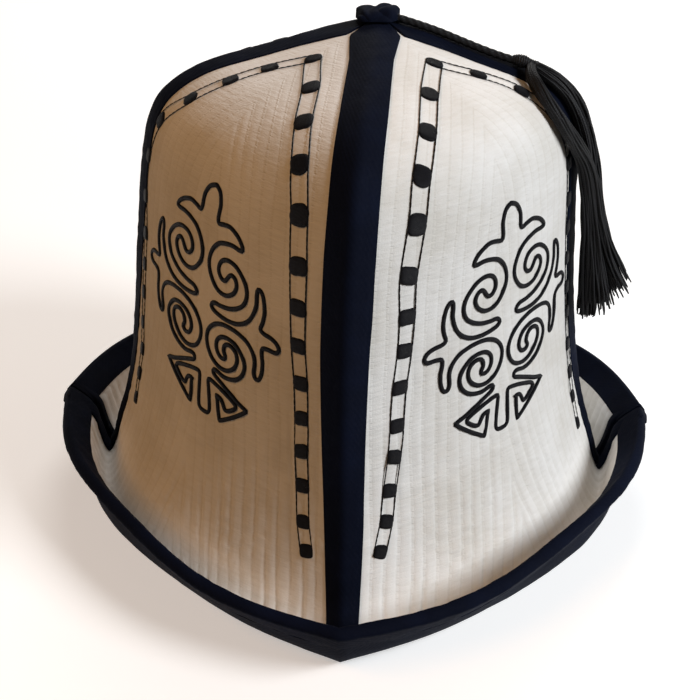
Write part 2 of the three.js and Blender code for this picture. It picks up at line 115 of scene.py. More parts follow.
# front out, front rise, side out, side rise, fullness, share to the side, share at the ends
BRIM_ROWS = [
    (0.3, 0.17, 0.14, 0.19, 0.15, 0.1, 0.03),
    (0.48, 0.0, 0.27, 0.0, 0.35, 0.1, 0.06),
    (0.637, 0.087, 0.372, 0.15, 0.48, 0.1, 0.07),
    (0.79, 0.286, 0.465, 0.48, 0.6, 0.07, 0.08),
    (0.91, 0.5, 0.572, 0.813, 0.7, 0.04, 0.09),
    (1.12, 0.88, 1.0, 1.145, 0.75, 0.0, 0.1),
]
FOOT = len(CROWN_ROWS) - 1
FOLD = FOOT + 2
EDGE = FOOT + len(BRIM_ROWS)
# Rows, and a seam band's half width there as a share of its half width over the crown
BAND_SHARES = (
    [0, 0.8, 1.6, 4.5, 6, 7.3, 9, 11, 16, EDGE],
    [1.7, 1.35, 1.08, 1.09, 1.1, 1.06, 0.92, 0.74, 0.54, 0.5],
)

# Places of the sewn cloth, in mm
SEAM_GAP = 0.15  # the felt from a seam's middle
SLIT_GAP = 1.8  # the felt from a slit's middle
TAPE_PAST = 1.3  # the tape past the felt's edge
BAND_TOP = 1.3  # a band's face over the felt, where the cord lies on it
BAND_OVERLAP = 1.5  # a band's end under the binding
BAND_SEAM_INSET = 1.6  # the seam that holds a band, from its edge
FACING_OUTSIDE = -3.7  # the facing's two faces over the felt's white side
FACING_INSIDE = -2.7
FACING_INSET = 8  # the facing's end, from the brim's edge
# Stitches and threads, in mm
QUILT_STITCH = 2.4  # one stitch of the quilting
RUNNING_STITCH = 2.6  # one stitch of the border's lines
SATIN_SPACING = 0.45  # from thread to thread in satin stitch
PLY_TURN = 9  # one round of the cord's plies
WINDING = 0.9  # one round of the thread on the tassel's head
YARN_PLY = 1.1  # from ply to ply along the yarn
# Steps of the meshes: rows and columns of a grid, and points along a line
FELT_GRID = (216, 236)
BACK_GRID = (70, 50)
BAND_GRID = (190, 33)
FACING_GRID = (54, 181)
BINDING_STEPS = 301
BORDER_STEPS = 420
ORNAMENT_STEPS = 1200
# Heights of the embroidery in mm
ORNAMENT_HEIGHT = 0.7
DOT_HEIGHT = 0.65
LINE_HEIGHT = 0.4

# The cord's line beside the right side seam: row, aside and lift over the band, in diameters. It
# starts in the knot and ends in the tassel's head.
CORD_LINE = [
    (0.2, 0.6, 0.5),
    (0.4, 0.6, 0.5),
    (0.8, 0.6, 0.5),
    (1.2, 0.5, 0.5),
    (1.6, 0.6, 0.5),
    (2, 0.8, 0.55),
    (2.35, 1, 0.62),
    (2.62, 1.05, 0.75),
]
CORD_DIAMETER = 3.0
HEAD_DIAMETER = 5.2
# Shares of the head's length, and of its radius there
HEAD_PROFILE = ([0, 0.1, 0.3, 0.5, 0.68, 0.85, 1], [0.42, 0.72, 0.95, 1, 0.82, 0.84, 1])
# The head's line and the two strands of the fringe: row, aside and lift over the felt, in mm. The
# outer strand lies on the ridge, the inner one sags over the panel, and they hang down as one.
HEAD_LINE = [(2.5, 2.9, 3.3), (2.65, 3, 3.9), (2.8, 3, 4.2), (2.98, 3.2, 4.2)]
STRANDS = [
    [
        (2.9, 3.2, 4.2), (3.15, 3.2, 4.2), (3.45, 3, 4.2), (4.02, 3, 4), (4.78, 3.2, 4),
        (5.52, 3.2, 5.2), (6.1, 3.2, 6.8), (6.62, 3.6, 8.6), (7.12, 4, 10.2), (7.62, 4.5, 12.6),
        (8.2, 5.5, 15.4),
    ],
    [
        (2.9, 3.2, 4.2), (2.98, 7.5, 3.9), (3.2, 13, 3.6), (3.71, 18.5, 3.4), (4.51, 20, 3.5),
        (5.22, 15.5, 4.2), (5.85, 8.5, 5.6), (6.4, 5.4, 7.6), (7, 5, 9.6), (7.6, 5.4, 12),
        (8.2, 6, 15),
    ],
]
STRAND_POINTS = 400
TUFTS = 18
# Shares of the way down, and there in mm: the outer and the inner strand's half spread off the felt,
# the bundle's half width, and the depth that is free under the strand's line
LOOSE = [
    ([0, 0.1, 0.3, 0.5, 0.7, 0.85, 1], [1.8, 3.2, 3.4, 3.9, 4.8, 7.2, 11.5]),
    ([0, 0.1, 0.3, 0.5, 0.7, 0.85, 1], [1.6, 2.1, 2.4, 3.4, 4.8, 7.2, 11.5]),
]
WIDE = ([0, 0.1, 0.3, 0.7, 0.85, 1], [1.8, 3.2, 3.6, 4, 5, 7])
CLEAR = ([0, 0.35, 0.55, 0.7, 1], [2.6, 2.8, 4, 7, 13])

# The knot's folds: place, size and turn, as shares of the solid knot's half size
KNOT_FOLDS = [
    ((-0.3, 0.02), (0.72, 0.95, 0.84), 0.2),
    ((0.36, 0.05), (0.64, 0.92, 1.0), -0.25),
    ((-0.12, -0.55), (0.82, 0.42, 0.5), 0.05),
]
KNOT_BLUNTNESS = 3.4

# One half of the ornament's outline in millimetres, y down, from the top of its middle to the foot
# of it: the half towards the front seam. A point given twice is a corner. The other half is its
# mirror image, drawn out where the felt curves away.
ORNAMENT_HALF = [
    (0, -44.5), (-1.4, -44), (-3.2, -42.5), (-4, -39), (-3.6, -36), (-3.2, -33.5), (-3.9, -32), (-6.7, -32.6),
    (-10.7, -33), (-14.7, -31.5), (-17.2, -29.5), (-18.2, -27.5), (-16.7, -26.8), (-12.7, -27),
    (-8.7, -26.4), (-4.7, -25), (-1.7, -22.5), (0.3, -19), (0.9, -15.5), (-0.2, -12), (-3.2, -8.5),
    (-6.7, -7), (-10.7, -7.3), (-14.2, -9.5), (-15.9, -12.5), (-15.2, -15), (-13.2, -16),
    (-11.5, -15.2), (-10.2, -13.5), (-8.7, -12.3), (-6.7, -12.8), (-5.2, -15), (-5.7, -17.7),
    (-7.7, -19.8), (-11.2, -20.7), (-15.2, -20), (-18.7, -17.7), (-21.2, -14.5), (-21.7, -11),
    (-20.2, -7.5), (-17.2, -5), (-12.7, -3), (-7.7, -2), (-3.5, -1.7), (-1.7, -0.2), (-3.2, 1.3),
    (-7.7, 2), (-12.7, 2), (-17.7, 1), (-22.2, -1.5), (-25.2, -5), (-27, -10), (-27, -14),
    (-27.5, -16.2), (-29.2, -16), (-30.7, -13.5), (-31.5, -9), (-30.9, -5), (-29.9, -2),
    (-31.7, -0.8), (-35.2, -0.5), (-38.2, 0.5), (-39.7, 2.5), (-38.2, 4.3), (-34.2, 4.5),
    (-31.5, 5.2), (-31.2, 7.5), (-31.9, 11), (-31.7, 15), (-30.5, 18), (-28.7, 18.5),
    (-27.5, 16.5), (-27.7, 12), (-26.2, 8.5), (-23.2, 6), (-18.7, 4.7), (-13.7, 4.3), (-8.7, 4.8),
    (-4.2, 6.5), (-0.9, 9.5), (0.3, 13), (-0.7, 17), (-3.7, 20.5), (-8.2, 22.2), (-12.7, 21.8),
    (-16.5, 19.3), (-18.2, 16), (-17.5, 13), (-15.2, 11.5), (-12.7, 11.3), (-10.7, 12.5),
    (-10.3, 14.8), (-11.5, 16.7), (-10.2, 18), (-7.7, 17.5), (-5.9, 15), (-6.2, 12), (-8.7, 9.8),
    (-12.7, 9), (-17.2, 9.8), (-20.7, 12.5), (-22.5, 16), (-21.5, 19.8), (-18.7, 22.8),
    (-14.7, 24.5), (-10.7, 25), (-6.7, 24.3), (-4.7, 24.7), (-5.2, 26.3), (-8.7, 27.7),
    (-14.7, 30), (-19.7, 32), (-24.7, 33.5), (-24.7, 33.5), (-21.7, 36), (-16.7, 39.5),
    (-11.7, 42.5), (-9.7, 43.5), (-9.7, 43.5), (-8.7, 40), (-7.7, 35), (-7, 34.2), (-9.7, 34.5),
    (-11.2, 36), (-12.9, 38), (-15.7, 37), (-18.7, 34.5), (-17.2, 33), (-12.7, 31.5), (-7.7, 30.2),
    (-3.2, 29.5), (-1.9, 30), (-2.2, 33), (-3, 38), (-3.3, 42), (-2.2, 43.5), (0, 43.8),
]

# The border's dots in mm: distance down the panel and in from the nearer seam. The front line runs
# beside the front seam, and the side line from the top over to the side seam and down beside it.
BORDER = {
    "left": {
        "front": [
            (29, 27.5), (44, 25), (59, 25), (73, 24), (88, 22), (105, 21), (120, 20.5), (134, 20),
            (148, 18.5), (162, 18), (175, 18), (189, 17.5), (203, 17), (214, 15.5),
        ],
        "side": [
            (40, 25.5), (53, 26), (67, 23.5), (82, 14.5), (99, 9.5), (116, 10.5), (130, 14.5),
            (143, 16), (155, 17.5), (168, 19.5), (179, 22), (191, 22), (202, 24.5),
        ],
    },
    "right": {
        "front": [
            (30, 30.5), (46, 28), (62, 28), (76, 27), (91, 26.5), (108, 24.5), (123, 25),
            (136, 24.5), (150, 23), (165, 22), (177, 21), (190, 19), (202, 17.5), (213, 15),
        ],
        "side": [
            (42, 22.5), (57, 20), (71, 18), (83, 14.5), (96, 12), (111, 11), (123, 11), (136, 11),
            (149, 11.5), (160, 12), (174, 13), (187, 14), (198, 15.5), (211, 17.5),
        ],
    },
}
# Distances down in mm, and there half the distance between a border's two lines, and half the
# height of its dots
RAILS = {
    "front": ([29, 60, 88, 105, 134, 160, 245], [3.2, 3.3, 3.7, 3.6, 3.1, 2.9, 2.4]),
    "side": ([29, 80, 245], [2.6, 2.5, 2.2]),
}
TALL = {
    "front": (
        [29, 43, 58, 73, 88, 105, 120, 134, 245],
        [2.6, 3.6, 3.5, 3.8, 4.1, 3.4, 3.1, 2.8, 2.7],
    ),
    "side": ([29, 80, 130, 245], [3.5, 3.2, 2.8, 2.6]),
}
# The share of the lines' width that a side line has, because it is sewn with finer thread
SIDE_LINE_SHARE = 2 / 2.8
# The ornament's middle in mm from the front seam and down, its tilt, and its two scales
PLACES = {"left": (65.4, 134.3, 0.047, 0.93, 1.0), "right": (72.7, 139.5, 0.003, 0.99, 0.985)}

QUARTERS = [
    ("front", "left", -1, 1),
    ("front", "right", 1, 1),
    ("rear", "left", -1, -1),
    ("rear", "right", 1, -1),
]


def size_property(name, description, millimetres, least=0):
    """A length that a user would change."""
    return FloatProperty(
        name=name,
        description=description,
        default=millimetres * MM,
        min=least * MM,
        subtype="DISTANCE",
        unit="LENGTH",
    )


def colour_property(name, description, code):
    """A colour that a user would change, from its sRGB hex code."""
    parts = tuple(int(code[i : i + 2], 16) / 255 for i in (0, 2, 4))
    return FloatVectorProperty(
        name=name, description=description, default=parts, min=0, max=1, subtype="COLOR_GAMMA"
    )


class KalpakSizes(bpy.types.PropertyGroup):
    """Sizes of the cloth work that a user would change."""

    quilt_spacing: size_property("Quilt spacing", "Distance between two quilting seams", 5.6, 2)
    quilt_depth: size_property("Quilt depth", "Swell of the felt between two seams, low on the hat", 1.05)
    pucker_depth: size_property("Pucker depth", "Height of the wrinkles across the quilting", 0.4)
    felt_thickness: size_property("Felt thickness", "Thickness of the felt panels", 2.5)
    band_half_width: size_property("Band half width", "Half a seam band's width over the crown", 9.6)
    cloth_thickness: size_property("Cloth thickness", "Thickness of the seam bands", 1.0)
    binding_width: size_property("Binding width", "Width of the tape along the brim's edge", 12)
    slit_tape_width: size_property("Slit tape width", "Width of the tape along the two side slits", 5.6)
    outline_width: size_property("Outline width", "Width of the ornament's satin stitched outline", 1.8)
    border_line_width: size_property("Border line width", "Width of the border's stitched lines", 0.5)
    thread_diameter: size_property("Thread diameter", "Thickness of one thread of the tassel", 0.95)
    thread_count: IntProperty(
        name="Threads", description="Number of threads in the tassel", default=252, min=8
    )


class KalpakColours(bpy.types.PropertyGroup):
    """Colours that a user would change, as sRGB values."""

    felt: colour_property("Felt", "Colour of the felt", "F0EEEB")
    # The felt shade colours the felt's darker fibres, and is also painted shade in the quilting seams and the
    # wrinkles' hollows
    felt_shade: colour_property("Felt shade", "Colour of the felt's darker fibres", "DFDBD4")
    cloth: colour_property("Cloth", "Colour of the bands, the facing and the binding", "070C1B")
    thread: colour_property("Embroidery thread", "Colour of the ornament and the border", "0B0B10")
    yarn: colour_property("Yarn", "Colour of the cord and the tassel", "08090D")
    floor: colour_property("Floor", "Colour of the studio floor", "F2F2F2")


def sizes():
    return bpy.context.scene.kalpak_sizes


def colours():
    return bpy.context.scene.kalpak_colours


def linear(colour):
    """An sRGB colour as the linear colour that a shader takes."""
    parts = [c / 12.92 if c <= 0.04045 else ((c + 0.055) / 1.055) ** 2.4 for c in colour]
    return (*parts, 1.0)


def scaled(tint, gain):
    """A linear colour made lighter or darker."""
    return (*(min(1, part * gain) for part in tint[:3]), 1)


# Lines and tables of numbers


def unit(vectors):
    return vectors / np.linalg.norm(vectors, axis=-1, keepdims=True)


def run_length(points):
    """The distance along a line to each of its points."""
    steps = np.linalg.norm(np.diff(points, axis=-2), axis=-1)
    return np.concatenate([np.zeros_like(steps[..., :1]), np.cumsum(steps, -1)], -1)


def curve_between(a, b, c, d, u):
    """A point of the smooth curve from b to c, whose neighbours are a and d."""
    return b + 0.5 * u * (c - a + u * (2 * a - 5 * b + 4 * c - d + u * (3 * (b - c) + d - a)))


def smooth_line(points, count):
    """Points evenly spaced on a smooth curve through the given ones."""
    points = np.asarray(points, float)
    ends = np.concatenate([[2 * points[0] - points[1]], points, [2 * points[-1] - points[-2]]])
    u = np.linspace(0, 1, 24, endpoint=False)[:, None]
    fine = [curve_between(*ends[i : i + 4], u) for i in range(len(points) - 1)]
    fine = np.concatenate([*fine, points[-1:]])
    reached = run_length(fine)
    at = np.linspace(0, reached[-1], count)
    return np.stack([np.interp(at, reached, column) for column in fine.T], 1)


def pairs(across, along):
    """Two arrays of different shapes as one grid of pairs."""
    return np.stack(np.broadcast_arrays(across, along), -1)


def blend(table, i, j, a, b):
    """The value between four neighbours in a table, which starts again past its ends."""
    rows, columns = table.shape
    near, far = (
        table[k % rows, j % columns] * (1 - b) + table[k % rows, (j + 1) % columns] * b
        for k in (i, i + 1)
    )
    return near * (1 - a) + far * a


CHANCE_TABLE = np.random.default_rng(7).uniform(-1, 1, (64, 64))


def drift(x, y, shift=0):
    """Smooth noise from -1 to 1 with one swing about every unit."""
    x, y = np.broadcast_arrays(np.asarray(x, float), np.asarray(y, float))
    i, j = np.floor(x).astype(int), np.floor(y).astype(int)
    a, b = x - i, y - j
    a, b = a * a * (3 - 2 * a), b * b * (3 - 2 * b)
    return blend(CHANCE_TABLE, i + 11 * shift, j + 23 * shift, a, b)


def blunt(angle, power):
    """How far a round shape with blunt corners reaches: a higher power makes it squarer."""
    return (np.abs(np.cos(angle)) ** power + np.abs(np.sin(angle)) ** power) ** (-1 / power)


# The felt's surface


def surface_rows():
    crown = [
        (
            depth * CROWN_HALF_DEPTH,
            front * CROWN_HEIGHT,
            width * CROWN_HALF_WIDTH,
            side * CROWN_HEIGHT,
            fullness * CROWN_FULLNESS,
            CROWN_TO_SIDE,
            CROWN_ENDS,
        )
        for depth, front, width, side, fullness in CROWN_ROWS
    ]
    foot = crown[FOOT]
    brim = [
        (
            foot[0] + front_out * BRIM_OUT,
            FOLD_FLOOR + front_rise * BRIM_RISE,
            foot[2] + side_out * BRIM_OUT,
            FOLD_FLOOR + side_rise * BRIM_RISE,
            foot[4] + fullness * BRIM_FULLNESS,
            to_side,
            ends,
        )
        for front_out, front_rise, side_out, side_rise, fullness, to_side, ends in BRIM_ROWS
    ]
    return np.array(crown + brim)


ROWS = surface_rows()


def section(down):
    at = np.clip(np.asarray(down, float), 0, EDGE)
    i = np.minimum(np.floor(at).astype(int), EDGE - 1)
    u = (at - i)[..., None]
    a, b, c, d = (ROWS[np.clip(i + k, 0, EDGE)] for k in (-1, 0, 1, 2))
    return curve_between(a, b, c, d, u)


def felt_point(across, down):
    """A point of the white side in the front right quarter, in mm. Past the edge, down is in mm."""
    across, down = np.broadcast_arrays(np.asarray(across, float), np.asarray(down, float))
    front, front_z, side, side_z, swell, to_side, ends = np.moveaxis(section(down), -1, 0)
    chord = np.hypot(front, side)
    wave = [np.sin(n * np.pi * across) for n in (1, 2, 3)]
    swell = swell * (wave[0] - to_side * wave[1] + ends * wave[2])
    rise = (side_z - front_z) * np.sin(np.pi / 2 * across) ** 2
    point = np.stack(
        [
            side * across + swell * front / chord,
            -(front * (1 - across) + swell * side / chord),
            front_z + rise,
        ],
        -1,
    )
    past = down - EDGE
    if (past > 0).any():
        run = unit(felt_point(across, EDGE) - felt_point(across, EDGE - 0.05))
        point = point + run * np.maximum(past, 0)[..., None]
    return point


def felt_normal(across, down):
    """The outward direction, mitred on a seam."""
    across, down = np.broadcast_arrays(np.asarray(across, float), np.asarray(down, float))
    flat = np.minimum(down, EDGE)
    left, right = np.maximum(across - 0.002, 0), np.minimum(across + 0.002, 1)
    above, below = np.clip(down - 0.02, 0, EDGE - 0.02), np.minimum(down + 0.02, EDGE)
    along_section = felt_point(right, flat) - felt_point(left, flat)
    along_seam = felt_point(across, below) - felt_point(across, above)
    normal = unit(np.cross(along_seam, along_section))
    for seam, component in ((0, 0), (1, 1)):
        mitre = normal.copy()
        mitre[..., component] = 0
        mitre = unit(mitre)
        mitre /= (mitre * normal).sum(-1, keepdims=True)
        normal = np.where((across == seam)[..., None], mitre, normal)
    return normal


def to_quarter(point, right, front):
    """Puts a point of the front right quarter in its quarter of the hat, in metres."""
    up = np.maximum(point[..., 2], 0) / CROWN_HEIGHT
    lean = CROWN_LEAN * up**10 - CROWN_SWAY * np.sin(np.pi * np.minimum(up, 1)) ** 2
    return np.stack([right * point[..., 0] + lean, front * point[..., 1], point[..., 2]], -1) * MM


def on_hat(across, down, height, right, front):
    """Points at a height in mm over the felt. Right and front may be arrays of signs."""
    height = np.asarray(height, float)[..., None]
    return to_quarter(felt_point(across, down) + felt_normal(across, down) * height, right, front)


def normal_on_hat(across, down, right, front):
    normal = felt_normal(across, down)
    return np.stack([right * normal[..., 0], front * normal[..., 1], normal[..., 2]], -1)


# Distances over the felt: along the middle of a panel, and from its front seam across. They are
# read from a net of points.
NET_ROWS = 600
NET_COLUMNS = 160
NET_DOWNS = np.linspace(0, EDGE, NET_ROWS + 1)
NET_SHARES = np.linspace(0, 1, NET_COLUMNS + 1)
NET = felt_point(NET_SHARES[None, :], NET_DOWNS[:, None])
NET_LENGTHS = run_length(NET[:, NET_COLUMNS // 2])
NET_INSETS = run_length(NET)
NET_WIDTHS = NET_INSETS[:, -1]
EVEN_SHARES = np.array([np.interp(NET_SHARES, row / row[-1], NET_SHARES) for row in NET_INSETS])


def width_at(down):
    return np.interp(down, NET_DOWNS, NET_WIDTHS)


def distance_down(down):
    return np.interp(down, NET_DOWNS, NET_LENGTHS)


def row_at(distance):
    return np.interp(distance, NET_LENGTHS, NET_DOWNS)


def even_rows(start, stop, count):
    """Rows that lie evenly spaced over the felt."""
    return row_at(np.linspace(distance_down(start), distance_down(stop), count))


def across_at(inset, down):
    """The place across a panel at a distance in mm from its front seam."""
    share = np.clip(inset / width_at(down), 0, 1) * NET_COLUMNS
    row = np.clip(np.asarray(down, float) / EDGE, 0, 1) * NET_ROWS
    i = np.minimum(row.astype(int), NET_ROWS - 1)
    j = np.minimum(share.astype(int), NET_COLUMNS - 1)
    return blend(EVEN_SHARES, i, j, row - i, share - j)


def row_from_edge(across, distance):
    """The row on a flap at a distance in mm in from the brim's edge."""
    rows = np.linspace(FOLD, EDGE, 81)
    reached = run_length(felt_point(np.asarray(across, float)[..., None], rows))
    left = reached[..., -1:] - reached
    found = [np.interp(distance, line[::-1], rows[::-1]) for line in left.reshape(-1, len(rows))]
    return np.array(found).reshape(left.shape[:-1])


def side_gap(down):
    """The share of a panel's width by which its cloth stays short of the side seam or the slit."""
    return np.interp(down, [FOLD - 1, FOLD], [SEAM_GAP, SLIT_GAP]) / width_at(down)


def quilt_line(across, down):
    """The place between the quilting seams: a whole number on a seam, counted from the edge."""
    seams = np.minimum(across, 1 - across) * width_at(down) / (sizes().quilt_spacing / MM)
    # Sewn by hand, a seam wanders by up to 0.13 of the spacing over some 19 mm
    return seams + 0.13 * drift(distance_down(down) / 19, seams * 0.8)


def quilting(across, down):
    """The felt's swell between its quilting seams, in mm. The seams run along the nearer edge."""
    inset = np.minimum(across, 1 - across) * width_at(down)
    along = distance_down(down)
    line = quilt_line(across, down)
    pillow = np.abs(np.sin(np.pi * line)) ** 0.42
    channel = np.floor(line)
    # The swell is low on the crown, where the felt is pulled tight, and full on the brim
    share = np.interp(down, [0, 5, 8, 10, 13, EDGE], [0.2, 0.22, 0.4, 0.8, 1.1, 1.0])
    # Each seam draws the cover in by its own amount, and wrinkles run from it
    drawn = 0.8 + 0.45 * drift(np.round(line) * 1.7, along / 30, 6)
    ripple = drift(along / 2.3 + 7.3 * channel, channel + 0.5, 2) * (
        0.65 + 0.6 * drift(along / 11, inset / 9, 1)
    )
    height = sizes().quilt_depth / MM * (pillow - 0.8) * drawn
    broad = 0.35 * drift(inset / 13, along / 17, 3)
    return share * (height + broad + sizes().pucker_depth / MM * ripple * (0.3 + 0.7 * pillow))


# Meshes


def grid_faces(rows, columns, flip):
    index = np.arange(rows * columns).reshape(rows, columns)
    corners = [index[:-1, :-1], index[1:, :-1], index[1:, 1:], index[:-1, 1:]]
    if flip:
        corners.reverse()
    return np.stack([c.ravel() for c in corners], 1)


def outline_of(grid):
    """The points round a grid's edge, the first one again at the end."""
    return np.concatenate([grid[0, :-1], grid[:-1, -1], grid[-1, :0:-1], grid[:0:-1, 0], grid[:1, 0]])


def grid_part(points, uv=None, flip=False):
    rows, columns = points.shape[:2]
    if uv is None:
        uv = np.zeros((rows, columns, 2))
    return points.reshape(-1, 3), grid_faces(rows, columns, flip), np.asarray(uv).reshape(-1, 2)


def slab_parts(top, bottom, uv, flip=False):
    """A closed sheet between two equal grids of points, as three parts."""
    wall = np.stack([outline_of(top), outline_of(bottom)])
    edge_uv = outline_of(uv)
    return [
        grid_part(top, uv, flip),
        grid_part(bottom, uv, not flip),
        grid_part(wall, np.stack([edge_uv, edge_uv]), not flip),
    ]


def piece_from(name, parts, material, nodes):
    """A mesh object of some parts, which rides on the hat and stands for some of its solids."""
    points, faces, uvs, start = [], [], [], 0
    for part_points, part_faces, part_uv in parts:
        points.append(part_points)
        faces.append(part_faces + start)
        uvs.append(part_uv)
        start += len(part_points)
    points, uvs = np.concatenate(points), np.concatenate(uvs)
    mesh = bpy.data.meshes.new(name)
    mesh.from_pydata(points.tolist(), [], [face for part in faces for face in part.tolist()])
    corner = np.empty(len(mesh.loops), dtype=np.int32)
    mesh.loops.foreach_get("vertex_index", corner)
    layer = mesh.uv_layers.new(name="cloth")
    layer.data.foreach_set("uv", uvs[corner].astype(np.float32).ravel())
    mesh.shade_smooth()
    mesh.materials.append(material)
    mesh.validate()
    piece = bpy.data.objects.new(name, mesh)
    bpy.context.scene.collection.objects.link(piece)
    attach(piece, "root")
    if nodes:
        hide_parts(*nodes)
    return piece


def tube_part(points, radii, sides):
    """A closed tube along a line. Radii holds one radius for each point, or one for each side too."""
    run = unit(np.gradient(points, axis=0))
    first = unit(np.cross(run, np.cross(np.array([1.0, 0, 0]), run)))
    second = np.cross(run, first)
    angle = np.linspace(0, 2 * np.pi, sides, endpoint=False)
    radii = np.asarray(radii, float).reshape(len(points), -1)
    ring = (
        points[:, None]
        + first[:, None] * (radii * np.cos(angle))[..., None]
        + second[:, None] * (radii * np.sin(angle))[..., None]
    )
    ring = np.concatenate([ring, ring[:, :1]], 1)
    girth = np.append(angle, 2 * np.pi) * np.median(radii)
    parts = [grid_part(ring, pairs(girth, run_length(points)[:, None]), flip=True)]
    for end, flip in ((0, True), (-1, False)):
        fan = np.stack([ring[end], np.broadcast_to(points[end], ring[end].shape)])
        parts.append(grid_part(fan, None, flip))
    return parts


def raised_part(points, normals, half_width, height, steps=7):
    """A rounded raised line, such as satin stitch, along points on the felt, all in metres."""
    run = unit(np.gradient(points, axis=0))
    aside = unit(np.cross(normals, run))
    angle = np.linspace(0, np.pi, steps)
    offset = np.broadcast_to(half_width, len(points))[:, None] * np.cos(angle)
    lift = np.broadcast_to(height, len(points))[:, None] * np.sin(angle)
    grid = points[:, None] + aside[:, None] * offset[..., None] + normals[:, None] * lift[..., None]
    return grid_part(grid, pairs(offset, run_length(points)[:, None]))


def turned(part, flip):
    """A part, with its faces turned over if flip is true."""
    points, faces, uv = part
    return (points, faces[:, ::-1], uv) if flip else part


# Materials


def add_node(tree, kind, inputs=None, stops=(), **settings):
    """Adds a node. Inputs are values, sockets or nodes, and stops are a ramp's places and colours."""
    node = tree.nodes.new(kind)
    for name, value in settings.items():
        setattr(node, name, value)
    for i, (place, tint) in enumerate(stops):
        node.color_ramp.elements[i].position = place
        node.color_ramp.elements[i].color = tint
    for name, value in (inputs or {}).items():
        if isinstance(value, bpy.types.Node):
            value = value.outputs[0]
        if isinstance(value, bpy.types.NodeSocket):
            tree.links.new(value, node.inputs[name])
        else:
            node.inputs[name].default_value = value
    return node


def start_material(name):
    """A material with an empty node tree, and the place on the object for its patterns."""
    material = bpy.data.materials.new(name)
    material.use_nodes = True
    material.node_tree.nodes.clear()
    place = add_node(material.node_tree, "ShaderNodeTexCoord").outputs["Object"]
    return material, material.node_tree, place


def end_material(tree, inputs):
    """The material's surface, from the inputs of its shader."""
    shader = add_node(tree, "ShaderNodeBsdfPrincipled", inputs)
    add_node(tree, "ShaderNodeOutputMaterial", {"Surface": shader}, is_active_output=True)


def scale_for(millimetres):
    """The scale of a pattern with one swing in so many millimetres."""
    return 1 / (millimetres * MM)


def quilted_felt():
    """White wool felt under thin cotton: matt, softly fibrous, and sewn through in rows.

    The fibres give a soft grain, the sewing thread a dotted groove, and the thin cover fine
    wrinkles that run across the seams. Shade is painted into the colour: darker in the seams
    and in the wrinkles' hollows, lighter on their crests.
    """
    material, tree, place = start_material("quilted_wool_felt")
    uv = add_node(tree, "ShaderNodeUVMap", uv_map="cloth")
    parts = add_node(tree, "ShaderNodeSeparateXYZ", {"Vector": uv}).outputs

    # The seams and the stitches along them: low on the thread, and 1 beside it
    lines = []
    for part, spacing, wide, least in (
        (parts["X"], sizes().quilt_spacing, 0.14, 0.0),
        (parts["Y"], QUILT_STITCH * MM, 0.16, 0.35),
    ):
        count = add_node(tree, "ShaderNodeMath", {0: part, 1: spacing}, operation="DIVIDE")
        near = add_node(tree, "ShaderNodeMath", {0: count, 1: 0.5}, operation="PINGPONG")
        inputs = {"Value": near, "From Min": 0.02, "From Max": wide, "To Min": least}
        lines.append(
            add_node(tree, "ShaderNodeMapRange", inputs, interpolation_type="SMOOTHSTEP")
        )
    seam, stitch = lines
    open_seam = add_node(tree, "ShaderNodeMath", {0: 1.0, 1: seam}, operation="SUBTRACT")
    thread = add_node(tree, "ShaderNodeMath", {0: open_seam, 1: stitch}, operation="MULTIPLY")
    groove = add_node(
        tree, "ShaderNodeMath", {0: seam, 1: 0.4, 2: thread}, operation="MULTIPLY_ADD"
    )

    # Wrinkles 1.43 mm apart and 7.7 mm long, across the seams
    stretch = (scale_for(7.7), scale_for(1.43), 1)
    stretched = add_node(tree, "ShaderNodeMapping", {"Vector": uv, "Scale": stretch})
    inputs = {"Vector": stretched, "Scale": 1.0, "Detail": 3.0, "Roughness": 0.6}
    wrinkle = add_node(tree, "ShaderNodeTexNoise", inputs)
    # Fibres in tufts of 0.5 mm
    inputs = {"Vector": place, "Scale": scale_for(0.5), "Detail": 2.0, "Roughness": 0.65}
    fibre = add_node(tree, "ShaderNodeTexNoise", inputs)
    # Clouds of thicker and thinner felt
    inputs = {"Vector": place, "Scale": scale_for(30.3), "Detail": 4.0}
    tone_and_painted_shade = add_node(tree, "ShaderNodeTexNoise", inputs)
    # The seams hold a little more shade than the cover between them
    # Painted shade: the colour is darker in the seams, and follows the wrinkles, lighter on their crests and
    # darker in their hollows
    for shade, share in ((wrinkle, 0.35), (open_seam, -0.1)):
        inputs = {0: shade, 1: share, 2: tone_and_painted_shade}
        tone_and_painted_shade = add_node(tree, "ShaderNodeMath", inputs, operation="MULTIPLY_ADD")
    stops = ((0.45, linear(colours().felt_shade)), (0.78, linear(colours().felt)))
    inputs = {"Value": fibre, "To Min": 0.82, "To Max": 0.98}
    relief = {}
    for height, strength, depth in ((fibre, 0.35, 0.2), (wrinkle, 0.55, 0.45), (groove, 0.5, 0.25)):
        relief = {**relief, "Height": height, "Strength": strength, "Distance": depth * MM}
        relief = {"Normal": add_node(tree, "ShaderNodeBump", relief)}
    end_material(
        tree,
        {
            "Base Color": add_node(tree, "ShaderNodeValToRGB", {"Fac": tone_and_painted_shade}, stops),
            "Roughness": add_node(tree, "ShaderNodeMapRange", inputs),
            "Sheen Weight": 0.25,
            "Sheen Roughness": 0.5,
            "Specular IOR Level": 0.25,
            **relief,
        },
    )
    return material


